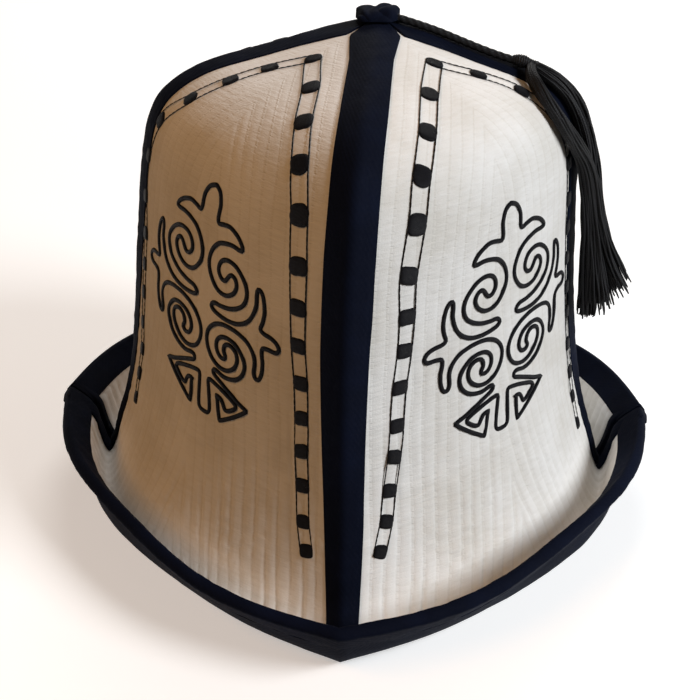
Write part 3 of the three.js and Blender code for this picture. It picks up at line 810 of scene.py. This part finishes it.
def short_pile_cloth():
    """Navy-black cotton velveteen: matt and dark face on, with a faint cool sheen at the edges.

    A twill of 1.6 mm, drawn coarser than the real 0.4 mm so that it shows, breaks the gloss.
    """
    material, tree, place = start_material("cotton_velveteen_black")
    uv = add_node(tree, "ShaderNodeUVMap", uv_map="cloth")
    slant = (0, 0, math.radians(32))
    along = add_node(tree, "ShaderNodeMapping", {"Vector": uv, "Rotation": slant})
    # The wave texture has 20 radians in a length of one
    inputs = {"Vector": along, "Scale": 2 * math.pi / 20 * scale_for(1.6), "Distortion": 0.6}
    twill = add_node(tree, "ShaderNodeTexWave", inputs).outputs["Fac"]
    inputs = {"Vector": place, "Scale": scale_for(1.11), "Detail": 3.0}
    nap = add_node(tree, "ShaderNodeTexNoise", inputs)
    inputs = {"Vector": place, "Scale": scale_for(16.7), "Detail": 3.0}
    wear = add_node(tree, "ShaderNodeTexNoise", inputs)
    base = linear(colours().cloth)
    stops = ((0.45, base), (0.8, scaled(base, 1.7)))
    inputs = {"Value": nap, "To Min": 0.65, "To Max": 0.92}
    relief = {}
    for height, strength, depth in ((nap, 0.3, 0.2), (twill, 0.25, 0.12)):
        relief = {**relief, "Height": height, "Strength": strength, "Distance": depth * MM}
        relief = {"Normal": add_node(tree, "ShaderNodeBump", relief)}
    end_material(
        tree,
        {
            "Base Color": add_node(tree, "ShaderNodeValToRGB", {"Fac": wear}, stops),
            "Roughness": add_node(tree, "ShaderNodeMapRange", inputs),
            "Sheen Weight": 0.012,
            "Sheen Roughness": 0.4,
            "Sheen Tint": (0.55, 0.62, 0.8, 1),
            "Specular IOR Level": 0.06,
            **relief,
        },
    )
    return material


def ribbed_thread(name, base, lightest, rib, fuzz, rough, bump, gloss, sheen):
    """Thread with slanting ribs across its run, for the next two materials.

    Lightest is a ramp's start and the gain at its end, rib a slant and a spacing in mm, fuzz a
    size in mm, rough two roughnesses, and bump a strength and a depth in mm.
    """
    material, tree, place = start_material(name)
    uv = add_node(tree, "ShaderNodeUVMap", uv_map="cloth")
    parts = add_node(tree, "ShaderNodeSeparateXYZ", {"Vector": uv}).outputs
    inputs = {0: parts["X"], 1: rib[0], 2: parts["Y"]}
    slant = add_node(tree, "ShaderNodeMath", inputs, operation="MULTIPLY_ADD")
    count = add_node(tree, "ShaderNodeMath", {0: slant, 1: rib[1] * MM}, operation="DIVIDE")
    ribs = add_node(tree, "ShaderNodeMath", {0: count, 1: 0.5}, operation="PINGPONG")
    inputs = {"Vector": place, "Scale": scale_for(fuzz), "Detail": 2.0}
    uneven = add_node(tree, "ShaderNodeTexNoise", inputs)
    stops = ((lightest[0], base), (0.8, scaled(base, lightest[1])))
    inputs = {"Value": uneven, "To Min": rough[0], "To Max": rough[1]}
    relief = {"Height": ribs, "Strength": bump[0], "Distance": bump[1] * MM}
    end_material(
        tree,
        {
            "Base Color": add_node(tree, "ShaderNodeValToRGB", {"Fac": uneven}, stops),
            "Roughness": add_node(tree, "ShaderNodeMapRange", inputs),
            "Specular IOR Level": gloss,
            "Sheen Weight": sheen,
            "Normal": add_node(tree, "ShaderNodeBump", relief),
        },
    )
    return material


def satin_stitch():
    """Black mercerised embroidery thread laid side by side: a soft gloss across the stitches.

    The threads lie across the width of a line, so the ribs run across it.
    """
    return ribbed_thread(
        "mercerised_cotton_satin_stitch",
        linear(colours().thread),
        lightest=(0.45, 1.8),
        rib=(0.25, SATIN_SPACING),
        fuzz=1.43,
        rough=(0.4, 0.7),
        bump=(0.8, 0.3),
        gloss=0.1,
        sheen=0.02,
    )


def twisted_yarn():
    """Black rayon yarn of two twisted plies: smooth fibres with a slight gloss along the strand.

    The plies show as slanting ribs.
    """
    return ribbed_thread(
        "twisted_rayon_yarn",
        linear(colours().yarn),
        lightest=(0.4, 2.0),
        rib=(0.9, YARN_PLY),
        fuzz=0.67,
        rough=(0.38, 0.65),
        bump=(0.6, 0.25),
        gloss=0.2,
        sheen=0.04,
    )


def studio_table():
    """White shooting table that glows by its own emission, which lifts the shadows on it: an even,
    pale and matt surface.
    """
    material, tree, place = start_material("glowing_white_floor")
    # A tooth of 2.5 mm, coarser than the real one so that it shows
    tooth = add_node(tree, "ShaderNodeTexNoise", {"Vector": place, "Scale": scale_for(2.5)})
    tint = linear(colours().floor)
    stops = ((0.35, scaled(tint, 0.985)), (0.65, tint))
    end_material(
        tree,
        {
            "Base Color": add_node(tree, "ShaderNodeValToRGB", {"Fac": tooth}, stops),
            # Painted light: the table glows, though no lamp lights it
            "Emission Color": (1, 1, 1, 1),
            "Emission Strength": 0.42,
            "Roughness": 0.95,
            "Specular IOR Level": 0.1,
        },
    )
    return material


MAKERS = {
    "quilted_wool_felt": quilted_felt,
    "cotton_velveteen_black": short_pile_cloth,
    "mercerised_cotton_satin_stitch": satin_stitch,
    "twisted_rayon_yarn": twisted_yarn,
    "glowing_white_floor": studio_table,
}


def material_named(name):
    return bpy.data.materials.get(name) or MAKERS[name]()


class KALPAK_OT_stage(bpy.types.Operator):
    """Sets the floor, the soft lights and the camera"""

    bl_idname = "kalpak.stage"
    bl_label = "Stage"

    def execute(self, context):
        self.camera(context.scene)
        self.floor(context.scene)
        self.lights(context.scene)
        return {"FINISHED"}

    def camera(self, scene):
        angles = (CAMERA_PITCH, CAMERA_AZIMUTH, CAMERA_ROLL)
        pitch, azimuth, roll = (math.radians(a) for a in angles)
        ahead = Vector(
            (
                -math.sin(azimuth) * math.cos(pitch),
                math.cos(azimuth) * math.cos(pitch),
                -math.sin(pitch),
            )
        )
        right = Vector((math.cos(azimuth), math.sin(azimuth), 0))
        up = right.cross(ahead)
        turned_right = math.cos(roll) * right + math.sin(roll) * up
        turned_up = -math.sin(roll) * right + math.cos(roll) * up
        data = bpy.data.cameras.new("camera")
        data.sensor_width = SENSOR_WIDTH
        data.lens = FOCAL_PIXELS / PICTURE_PIXELS * SENSOR_WIDTH
        data.shift_x = SHIFT_PIXELS / PICTURE_PIXELS
        data.clip_start = 0.02
        camera = bpy.data.objects.new("camera", data)
        axes = Matrix((turned_right, turned_up, -ahead)).transposed()
        out = (CAMERA_OUT * math.sin(azimuth), -CAMERA_OUT * math.cos(azimuth))
        place = Vector((*out, CAMERA_UP))
        camera.matrix_world = Matrix.Translation(place) @ axes.to_4x4()
        scene.collection.objects.link(camera)
        scene.camera = camera

    def floor(self, scene):
        # Flat round the hat, then curved up far behind it
        steps = np.linspace(-FLOOR_HALF, FLOOR_HALF, 25)
        x, y = np.meshgrid(steps, steps)
        curved = np.clip((np.hypot(x, y) - FLOOR_FLAT) / FLOOR_CURVE, 0, 1)
        z = FLOOR_RISE * curved**2 - FLOOR_DROP
        part = grid_part(np.stack([x, y, z], -1), np.stack([x, y], -1), flip=True)
        mesh = bpy.data.meshes.new("floor")
        mesh.from_pydata(part[0].tolist(), [], part[1].tolist())
        mesh.shade_smooth()
        mesh.materials.append(material_named("glowing_white_floor"))
        floor = bpy.data.objects.new("floor", mesh)
        scene.collection.objects.link(floor)
        # The table glows by its own emission, and diffuse rays don't see it, so neither its glow nor
        # its bounce light reaches the hat
        floor.visible_diffuse = False

    def lights(self, scene):
        world = bpy.data.worlds.new("studio")
        world.use_nodes = True
        background = world.node_tree.nodes["Background"]
        background.inputs["Color"].default_value = ROOM_COLOUR
        background.inputs["Strength"].default_value = ROOM_STRENGTH
        scene.world = world
        for name, place, aim, size, power, colour in LIGHTS:
            data = bpy.data.lights.new(name, "AREA")
            data.shape = "DISK"
            data.size = size
            data.energy = power
            data.color = colour
            light = bpy.data.objects.new(name, data)
            light.location = place
            light.rotation_mode = "QUATERNION"
            light.rotation_quaternion = (Vector(aim) - Vector(place)).to_track_quat("-Z", "Y")
            scene.collection.objects.link(light)
        scene.view_settings.view_transform = "Standard"
        scene.view_settings.look = "None"


def over_side_seam(line, size=1.0, over=0.0):
    """Points beside the right side seam: a row each, and an aside and a lift as shares of size."""
    row, aside, lift = np.asarray(line, float).T
    chord = np.hypot(*section(row)[:, [0, 2]].T)
    # Just short of the seam, where the felt's direction is mitred
    across = np.minimum(1 - aside * size / chord, 0.9999)
    return on_hat(across, row, over + lift * size, 1, 1)


class KALPAK_OT_cord_and_tassel(bpy.types.Operator):
    """Builds the twisted cord, the wound head of the tassel and its loose threads"""

    bl_idname = "kalpak.cord_and_tassel"
    bl_label = "Cord and tassel"

    def execute(self, context):
        yarn = material_named("twisted_rayon_yarn")
        head = self.head(yarn)
        self.fringe(yarn)
        route = over_side_seam(CORD_LINE, CORD_DIAMETER, BAND_TOP)
        line = smooth_line(route, 150)
        radius = CORD_DIAMETER / 2 * MM
        along = np.linspace(0, run_length(line)[-1], len(line))[:, None]
        angle = np.linspace(0, 2 * np.pi, 18, endpoint=False)
        # Three plies
        ply = np.abs(np.cos(1.5 * (angle - 2 * np.pi * along / (PLY_TURN * MM))))
        radii = radius * (0.82 + 0.2 * ply**0.7)
        parts = tube_part(line, radii, len(angle))
        cord = piece_from("cord", parts, yarn, ["tassel_cord"])
        return {"FINISHED"}

    def head(self, yarn):
        line = smooth_line(over_side_seam(HEAD_LINE), 64)
        at = np.linspace(0, 1, len(line))[:, None]
        angle = np.linspace(0, 2 * np.pi, 24, endpoint=False)
        turns = at * run_length(line)[-1] / MM / WINDING
        wound = 0.95 + 0.05 * np.cos(2 * np.pi * turns - angle)
        radii = np.interp(at, *HEAD_PROFILE) * HEAD_DIAMETER / 2 * MM * wound
        parts = tube_part(line, radii, len(angle))
        return piece_from("tassel_head", parts, yarn, ["tassel"])

    def fringe(self, yarn):
        chance = np.random.default_rng(21)
        strands = [self.strand(line) for line in STRANDS]
        # Threads keep together in tufts, each at its turn and its share of the bundle's radius
        tufts = [
            (chance.uniform(0, 2 * np.pi), math.sqrt(chance.uniform(0.1, 1))) for _ in range(TUFTS)
        ]
        parts = []
        for i in range(sizes().thread_count):
            # Four threads of nine lie in the inner strand
            inner = int(i % 9 > 4)
            parts += self.thread(chance, strands[inner], LOOSE[inner], *tufts[i % TUFTS])
        return piece_from("tassel_fringe", parts, yarn, ["tassel"])

    def strand(self, line):
        """A strand's middle line with its outward and its sideways directions, in nine columns."""
        middle = smooth_line(over_side_seam(line), STRAND_POINTS)
        run = unit(np.gradient(middle, axis=0))
        outward = unit(np.array([1.0, 0, 0]) - run * run[:, :1])
        return np.concatenate([middle, outward, unit(np.cross(run, outward))], 1)

    def thread(self, chance, strand, spread, turn, ring):
        """One loose thread. It keeps to its tuft, which comes apart a little at its end."""
        share = np.linspace(0, 1, 30)
        # The threads at the outer side of the bundle spread most and so end higher
        reach = 0.95 + 0.025 * math.sin(7 * turn) - 0.05 * ring * math.sin(turn)
        reach += chance.normal(0, 0.028)
        index = np.clip(share * reach, 0, 1) * (STRAND_POINTS - 1)
        at = np.stack([np.interp(index, np.arange(STRAND_POINTS), c) for c in strand.T], 1)
        own_turn = chance.uniform(0, 2 * np.pi)
        own_ring = 0.55 * math.sqrt(chance.uniform(0, 1))
        tuft = np.interp(share, [0, 0.75, 1], [0.75, 0.75, 1])
        lift = ring * math.sin(turn) * tuft + own_ring * math.sin(own_turn) * (1.5 - tuft)
        aside = ring * math.cos(turn) * tuft + own_ring * math.cos(own_turn) * (1.5 - tuft)
        lift *= np.interp(share, *spread)
        aside *= np.interp(share, *WIDE)
        # A few threads swing out far at their ends
        swing = chance.normal(0, 0.8) + (chance.uniform() < 0.06) * chance.normal(0, 3.5)
        wave = np.sin(2 * np.pi * (share * chance.uniform(2, 4) + chance.uniform()))
        aside += 0.3 * wave + swing * share**4
        lift += 0.25 * wave + 0.5 * abs(swing) * share**4
        lift = np.maximum(lift, -np.interp(share, *CLEAR))
        points = at[:, :3] + (at[:, 3:6] * lift[:, None] + at[:, 6:] * aside[:, None]) * MM
        radius = sizes().thread_diameter / 2 * chance.uniform(0.85, 1.15)
        return tube_part(points, radius * np.interp(share, [0, 0.96, 1], [1, 1, 0.6]), 5)


class KALPAK_OT_felt_panels(bpy.types.Operator):
    """Builds the four quilted felt panels"""

    bl_idname = "kalpak.felt_panels"
    bl_label = "Felt panels"

    def execute(self, context):
        felt = material_named("quilted_wool_felt")
        steps, columns = FELT_GRID
        rows = even_rows(0, EDGE, steps)
        back_rows = even_rows(0, EDGE, BACK_GRID[0])
        for end, side, right, front in QUARTERS:
            flip = right * front < 0
            top, uv = self.face(rows, columns, right, front, quilting)
            skirt, _ = self.face(rows, columns, right, front, self.back)
            back, back_uv = self.face(back_rows, BACK_GRID[1], right, front, self.back)
            parts = slab_parts(top, skirt, uv, flip)
            # The back is plain, so a coarser grid does for it
            parts[1] = grid_part(back, back_uv, not flip)
            name = f"felt_{end}_{side}"
            piece_from(name, parts, felt, [f"panel_{end}_{side}"])
        return {"FINISHED"}

    def back(self, across, down):
        return np.full(across.shape, -sizes().felt_thickness / MM)

    def face(self, rows, columns, right, front, height):
        """One face of a panel, from just beside its middle seam to just beside its side seam."""
        down = rows[:, None]
        start = SEAM_GAP / width_at(down)
        across = start + np.linspace(0, 1, columns)[None, :] * (1 - side_gap(down) - start)
        down = np.broadcast_to(down, across.shape)
        seams = quilt_line(across, down) * sizes().quilt_spacing
        uv = np.stack([seams, distance_down(down) * MM], -1)
        return on_hat(across, down, height(across, down), right, front), uv


def tape_profile(share):
    """The height over the felt of a sewn-down tape, 0 to 1 from its edge to its middle."""
    return np.clip(1 - np.abs(share), 0, 1) ** 0.28


class KALPAK_OT_seam_bands(bpy.types.Operator):
    """Builds the four bands of black cloth over the seams"""

    bl_idname = "kalpak.seam_bands"
    bl_label = "Seam bands"

    def execute(self, context):
        cloth = material_named("cotton_velveteen_black")
        for name, front in (("front", 1), ("rear", -1)):
            end = float(row_from_edge(0.0, sizes().binding_width / MM - BAND_OVERLAP))
            self.band(f"band_{name}", f"seam_band_{name}", end, cloth, front=front)
        for name, right in (("left", -1), ("right", 1)):
            self.band(f"band_{name}", f"seam_band_{name}", FOLD - 0.4, cloth, right=right)
        return {"FINISHED"}

    def band(self, name, node, end, cloth, right=0, front=0):
        """A band over a seam: the middle seam of one end of the hat, or one side seam."""
        rows = even_rows(0, end, BAND_GRID[0])
        share = np.sin(np.linspace(-1, 1, BAND_GRID[1]) * np.pi / 2)
        seed = 3 * right + front + 5
        depth, _, width, _, swell, _, ends = section(rows).T
        # How fast the felt runs across beside the seam
        pace = np.hypot(np.hypot(depth, width), swell * np.pi * (1 + 3 * ends))[:, None]
        half = (np.interp(rows, *BAND_SHARES) * sizes().band_half_width / MM)[:, None]
        along = distance_down(rows)[:, None]
        edge = 1 + 0.025 * drift(along / 17, np.sign(share), seed) * np.abs(share)
        offset = share * half * edge
        across = np.minimum(np.abs(offset) / pace, 0.46)
        down = np.broadcast_to(rows[:, None], across.shape)
        sign = np.where(offset < 0, -1, 1)
        if front:
            signs = (sign, front)
        else:
            across = 1 - across
            signs = (right, sign)
        thick = sizes().cloth_thickness / MM
        pucker = 0.16 * drift(along / 3.1, offset / 5, seed)
        pucker += 0.2 * drift(along / 16, offset / 8, seed)
        # The seam that holds the band draws it in
        beside = half - np.abs(share) * half - BAND_SEAM_INSET
        drawn_in = 0.28 * np.exp(-((beside / 0.5) ** 2))
        height = 0.25 + thick * tape_profile(share) + pucker * (1 - np.abs(share) ** 4) - drawn_in
        top = on_hat(across, down, height, *signs)
        low = on_hat(across, down, 0 * height, *signs)
        # Cloth bends in soft rounds over the ridge
        for _ in range(3):
            top[:, 1:-1] = 0.25 * top[:, :-2] + 0.5 * top[:, 1:-1] + 0.25 * top[:, 2:]
        uv = pairs(offset, along) * MM
        flip = (front or right) * (1 if front else -1) < 0
        piece_from(name, slab_parts(top, low, uv, flip), cloth, [node])


def above_floor(points):
    """The points, with none under the plane that the hat stands on."""
    points[..., 2] = np.maximum(points[..., 2], 0)
    return points


class KALPAK_OT_brim(bpy.types.Operator):
    """Builds the black facing and the bound edge of the two brim flaps"""

    bl_idname = "kalpak.brim"
    bl_label = "Brim facing and binding"

    def execute(self, context):
        cloth = material_named("cotton_velveteen_black")
        for name, front in (("front", 1), ("rear", -1)):
            self.facing(name, front, cloth)
            self.binding(name, front, cloth)
        return {"FINISHED"}

    def across_flap(self, rows):
        """Places across one flap, from the left side seam over the middle to the right one."""
        return np.linspace(-1, 1, FACING_GRID[1])[None, :] * (1 - side_gap(rows[:, None]))

    def facing(self, name, front, cloth):
        rows = even_rows(FOOT - 0.3, float(row_from_edge(0.5, FACING_INSET)), FACING_GRID[0])
        place = self.across_flap(rows)
        across, right = np.abs(place), np.where(place < 0, -1, 1)
        down = np.broadcast_to(rows[:, None], across.shape)
        along = distance_down(down)
        from_middle = place * width_at(down)
        wave = 0.15 * drift(from_middle / 12, along / 9, 4)
        wave += 0.05 * drift(from_middle / 4, along / 6, 5)
        outer = above_floor(on_hat(across, down, FACING_OUTSIDE + wave, right, front))
        inner = above_floor(on_hat(across, down, FACING_INSIDE + 0 * wave, right, front))
        parts = slab_parts(outer, inner, pairs(from_middle, along) * MM, front > 0)
        piece_from(f"facing_{name}", parts, cloth, [f"brim_facing_{name}"])

    def binding(self, name, front, cloth):
        place = np.linspace(-1, 1, BINDING_STEPS)
        across, right = np.abs(place), np.where(place < 0, -1, 1)
        inset, height = self.wrap(sizes().binding_width / MM)
        rows = np.array([row_from_edge(across, max(d, 0)) for d in inset])
        rows = np.where(inset[:, None] < 0, EDGE - inset[:, None], rows)
        along = place * width_at(EDGE)
        wave = 0.16 * drift(along / 6, inset[:, None] / 6, 6)
        wave += 0.1 * drift(along / 1.8, inset[:, None] / 5, 7)
        points = on_hat(across[None, :], rows, self.puckered(height, wave), right[None, :], front)
        points = above_floor(self.off_slit(points, front))
        girth = run_length(np.stack([inset, height], 1))[:, None]
        parts = [grid_part(points, pairs(girth, along) * MM, front < 0)]
        for side in (-1, 1):
            parts.append(self.slit_tape(side, front))
        piece_from(f"binding_{name}", parts, cloth, [f"brim_binding_{name}"])

    def wrap(self, width):
        """A tape's section: distance in from the felt's edge and height over the felt, in mm.

        It runs round the edge, from the tape's end on the white side to its end on the black side.
        """
        on_top = np.linspace(width, 0.6, 14)
        bulge = 0.95 * tape_profile(np.clip(on_top / width * 2 - 1, 0, 1))
        angle = np.linspace(0.5, -0.5, 9)[1:-1] * np.pi
        inset = np.concatenate([on_top, 0.3 - TAPE_PAST * np.cos(angle), on_top[::-1]])
        height = np.concatenate([0.3 + bulge, 2.5 * np.sin(angle) - 1.25, -2.8 - bulge[::-1]])
        return inset, height

    def puckered(self, height, wave):
        """The heights round a tape's section, with small waves off the felt."""
        return height[:, None] + np.sign(height[:, None]) * np.maximum(wave, -0.1)

    def off_slit(self, points, front):
        """Keeps the tape's two ends half a millimetre short of the slit's middle."""
        limit = 0.5 * MM
        ends = points[..., 1] * front > -limit
        points[..., 1] = np.where(ends, -limit * front, points[..., 1])
        return points

    def slit_tape(self, side, front):
        rows = np.append(np.linspace(FOLD - 0.6, EDGE, 40), EDGE + 1.0)
        # The rear flap's tape is mostly turned under
        seen = 1 if front > 0 else 0.45
        inset, height = self.wrap(TAPE_PAST + sizes().slit_tape_width / MM * seen)
        place = 1 - (inset[:, None] + SLIT_GAP) / width_at(rows)
        down = np.broadcast_to(rows, place.shape)
        wave = 0.12 * drift(distance_down(down) / 3, inset[:, None] / 4, 8)
        lift = self.puckered(height, wave)
        points = self.off_slit(on_hat(np.minimum(place, 0.9995), down, lift, side, front), front)
        points = above_floor(points)
        # The tape's last ring is closed by its middle
        middle = np.broadcast_to(points[:, -1:].mean(0), points[:, -1:].shape)
        points = np.concatenate([points, middle], 1)
        down = np.concatenate([down, down[:, -1:]], 1)
        return grid_part(points, pairs(inset[:, None], distance_down(down)) * MM, side * front > 0)


class KALPAK_OT_knot(bpy.types.Operator):
    """Builds the knot of folded cloth at the top"""

    bl_idname = "kalpak.knot"
    bl_label = "Knot"

    def execute(self, context):
        low, high = (np.array(corner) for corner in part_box("crown_knot"))
        half = (high - low) / 2
        foot = [*(low + half)[:2], low[2]]
        parts = []
        theta = np.linspace(0, 2 * np.pi, 57)
        rise = np.linspace(0, 0.5 * np.pi, 22)[:, None]
        for seed, ((x, y), (wide, deep, tall), turn) in enumerate(KNOT_FOLDS):
            # Blunt shoulders, soft creases that run over the fold, and a dent along it
            crease = 0.05 * np.sin(3 * theta + 2 * seed) + 0.07 * drift(theta * 1.6, rise * 2, seed)
            reach = blunt(theta, KNOT_BLUNTNESS) * (1 + crease * np.cos(rise)) * np.cos(rise) ** 0.6
            px = reach * np.cos(theta)
            py = reach * np.sin(theta)
            dent = 1 - 0.14 * np.exp(-((px - 0.35 * np.sin(2 * py)) ** 2) / 0.05)
            px, py = px * wide, py * deep
            qx = x + px * math.cos(turn) - py * math.sin(turn)
            qy = y + px * math.sin(turn) + py * math.cos(turn)
            qz = 2 * tall * np.sin(rise) ** 0.8 * dent
            place = np.stack([qx, qy, qz], -1) * half + foot
            place = np.clip(place, low - 0.4 * MM, high + 0.4 * MM)
            parts.append(grid_part(place, pairs(theta * 8, rise * 8) * MM, flip=True))
        cloth = material_named("cotton_velveteen_black")
        piece_from("knot", parts, cloth, ["crown_knot"])
        return {"FINISHED"}


def on_panel(inset, along, height, right, front):
    """Points and directions at distances in mm from the front seam and down the panel."""
    down = row_at(along)
    across = across_at(inset, down)
    return on_hat(across, down, height, right, front), normal_on_hat(across, down, right, front)


class KALPAK_OT_embroidery(bpy.types.Operator):
    """Sews the dotted border and the horn ornament on the four panels"""

    bl_idname = "kalpak.embroidery"
    bl_label = "Embroidery"

    def execute(self, context):
        thread = material_named("mercerised_cotton_satin_stitch")
        for end, side, right, front in QUARTERS:
            parts = self.border(side, right, front)
            piece_from(f"border_{end}_{side}", parts, thread, [])
            parts = self.ornament(side, right, front)
            piece_from(f"ornament_{end}_{side}", parts, thread, [])
        return {"FINISHED"}

    def border(self, side, right, front):
        chart = BORDER[side]
        lines = {
            "front": [(inset, down) for down, inset in chart["front"]],
            "side": [(float(width_at(row_at(down))) - inset, down) for down, inset in chart["side"]],
        }
        lines["side"].insert(0, lines["front"][0])
        parts = []
        flip = right * front < 0
        full = sizes().border_line_width / 2
        widths = {"front": full, "side": full * SIDE_LINE_SHARE}
        for name, places in lines.items():
            line = smooth_line(places, BORDER_STEPS)
            points, normals = on_panel(line[:, 0], line[:, 1], 0.25, right, front)
            run = unit(np.gradient(points, axis=0))
            aside = unit(np.cross(normals, run))
            half = np.interp(line[:, 1], *RAILS[name]) * MM
            reached = run_length(points) / MM
            stitch = 0.35 + 0.65 * np.abs(np.sin(np.pi * reached / RUNNING_STITCH)) ** 0.5
            width = widths[name] * (0.7 + 0.3 * stitch)
            for hand in (-1, 1):
                wobble = 0.12 * MM * drift(reached / 9, 3 * hand, 1)
                rail = points + aside * (hand * half + wobble)[:, None]
                part = raised_part(rail, normals, width, LINE_HEIGHT * MM * stitch, steps=5)
                parts.append(turned(part, flip))
            # The two lines share their first dot
            for spot in places[0 if name == "front" else 1 :]:
                k = int(np.argmin(np.hypot(line[:, 0] - spot[0], line[:, 1] - spot[1])))
                tall = float(np.interp(line[k, 1], *TALL[name])) * MM
                axes = (points[k], normals[k], run[k], aside[k])
                parts.append(self.dot(axes, half[k], tall, spot, flip))
        return parts

    def dot(self, axes, half, tall, spot, flip):
        """One satin stitched dot between the two lines: a low cushion with blunt corners."""
        centre, normal, run, aside = axes
        angle = np.linspace(0, 2 * np.pi, 29)
        ring = np.array([1, 0.97, 0.88, 0.7, 0.45, 0.2, 0.0])[:, None]
        power = float(np.interp(spot[1], [60, 150], [2.6, 4.5]))
        # Its edge is a little ragged, and its stitches slant
        reach = ring * blunt(angle, power) * (1 + 0.05 * drift(angle * 2, spot[0] + spot[1], 9))
        slant = 0.12 * float(drift(spot[0], spot[1] / 3, 3))
        x = 1.08 * half * reach * np.cos(angle)
        y = tall * reach * np.sin(angle) + slant * x
        lift = DOT_HEIGHT * (1 - ring**4) ** 0.5 + 0.1 + 0 * angle
        # The rim goes down into the felt
        lift[0] = -0.2
        grid = centre + aside * x[..., None] + run * y[..., None] + normal * lift[..., None] * MM
        return turned(grid_part(grid, pairs(x, y)), not flip)

    def ornament(self, side, right, front):
        inner = np.array(ORNAMENT_HALF)
        x, y = inner.T * [[-1], [1]]
        # Most is added half way down, and nothing at the top and the foot
        ends = 1 - (y / y.max()) ** 2
        drawn_out = ends * (6.2 + 0.16 * x - 0.09 * y)
        drawn_down = ends * (0.03 * x + 0.02 * y - 1.2)
        outer = np.stack([x + drawn_out, y + drawn_down], 1)
        outline = np.concatenate([inner, outer[::-1]])
        middle, down, tilt, wide, tall = PLACES[side]
        x, y = smooth_line(outline, ORNAMENT_STEPS).T
        inset = middle + wide * x + tilt * y
        points, normals = on_panel(inset, down + tall * y - tilt * x, 0.2, right, front)
        part = raised_part(points, normals, sizes().outline_width / 2, ORNAMENT_HEIGHT * MM)
        return [turned(part, right * front < 0)]


class KALPAK_PT_panel(bpy.types.Panel):
    """Lists the pieces of the hat with their sizes and colours"""

    bl_label = "Kalpak"
    bl_idname = "KALPAK_PT_panel"
    bl_space_type = "VIEW_3D"
    bl_region_type = "UI"
    bl_category = "Kalpak"

    def draw(self, context):
        layout = self.layout
        for group in (context.scene.kalpak_sizes, context.scene.kalpak_colours):
            box = layout.box()
            for name in group.__annotations__:
                box.prop(group, name)
        column = layout.column()
        for operator in OPERATORS:
            column.operator(operator.bl_idname)


OPERATORS = (
    KALPAK_OT_stage,
    KALPAK_OT_cord_and_tassel,
    KALPAK_OT_felt_panels,
    KALPAK_OT_seam_bands,
    KALPAK_OT_brim,
    KALPAK_OT_knot,
    KALPAK_OT_embroidery,
)
CLASSES = (KalpakSizes, KalpakColours, *OPERATORS, KALPAK_PT_panel)


def register():
    for cls in CLASSES:
        bpy.utils.register_class(cls)
    bpy.types.Scene.kalpak_sizes = PointerProperty(type=KalpakSizes)
    bpy.types.Scene.kalpak_colours = PointerProperty(type=KalpakColours)


def unregister():
    del bpy.types.Scene.kalpak_colours
    del bpy.types.Scene.kalpak_sizes
    for cls in reversed(CLASSES):
        bpy.utils.unregister_class(cls)


def main():
    register()
    bpy.ops.kalpak.stage()
    bpy.ops.kalpak.cord_and_tassel()
    bpy.ops.kalpak.felt_panels()
    bpy.ops.kalpak.seam_bands()
    bpy.ops.kalpak.brim()
    bpy.ops.kalpak.knot()
    bpy.ops.kalpak.embroidery()
    bpy.context.view_layer.update()


if __name__ == "__main__":
    main()
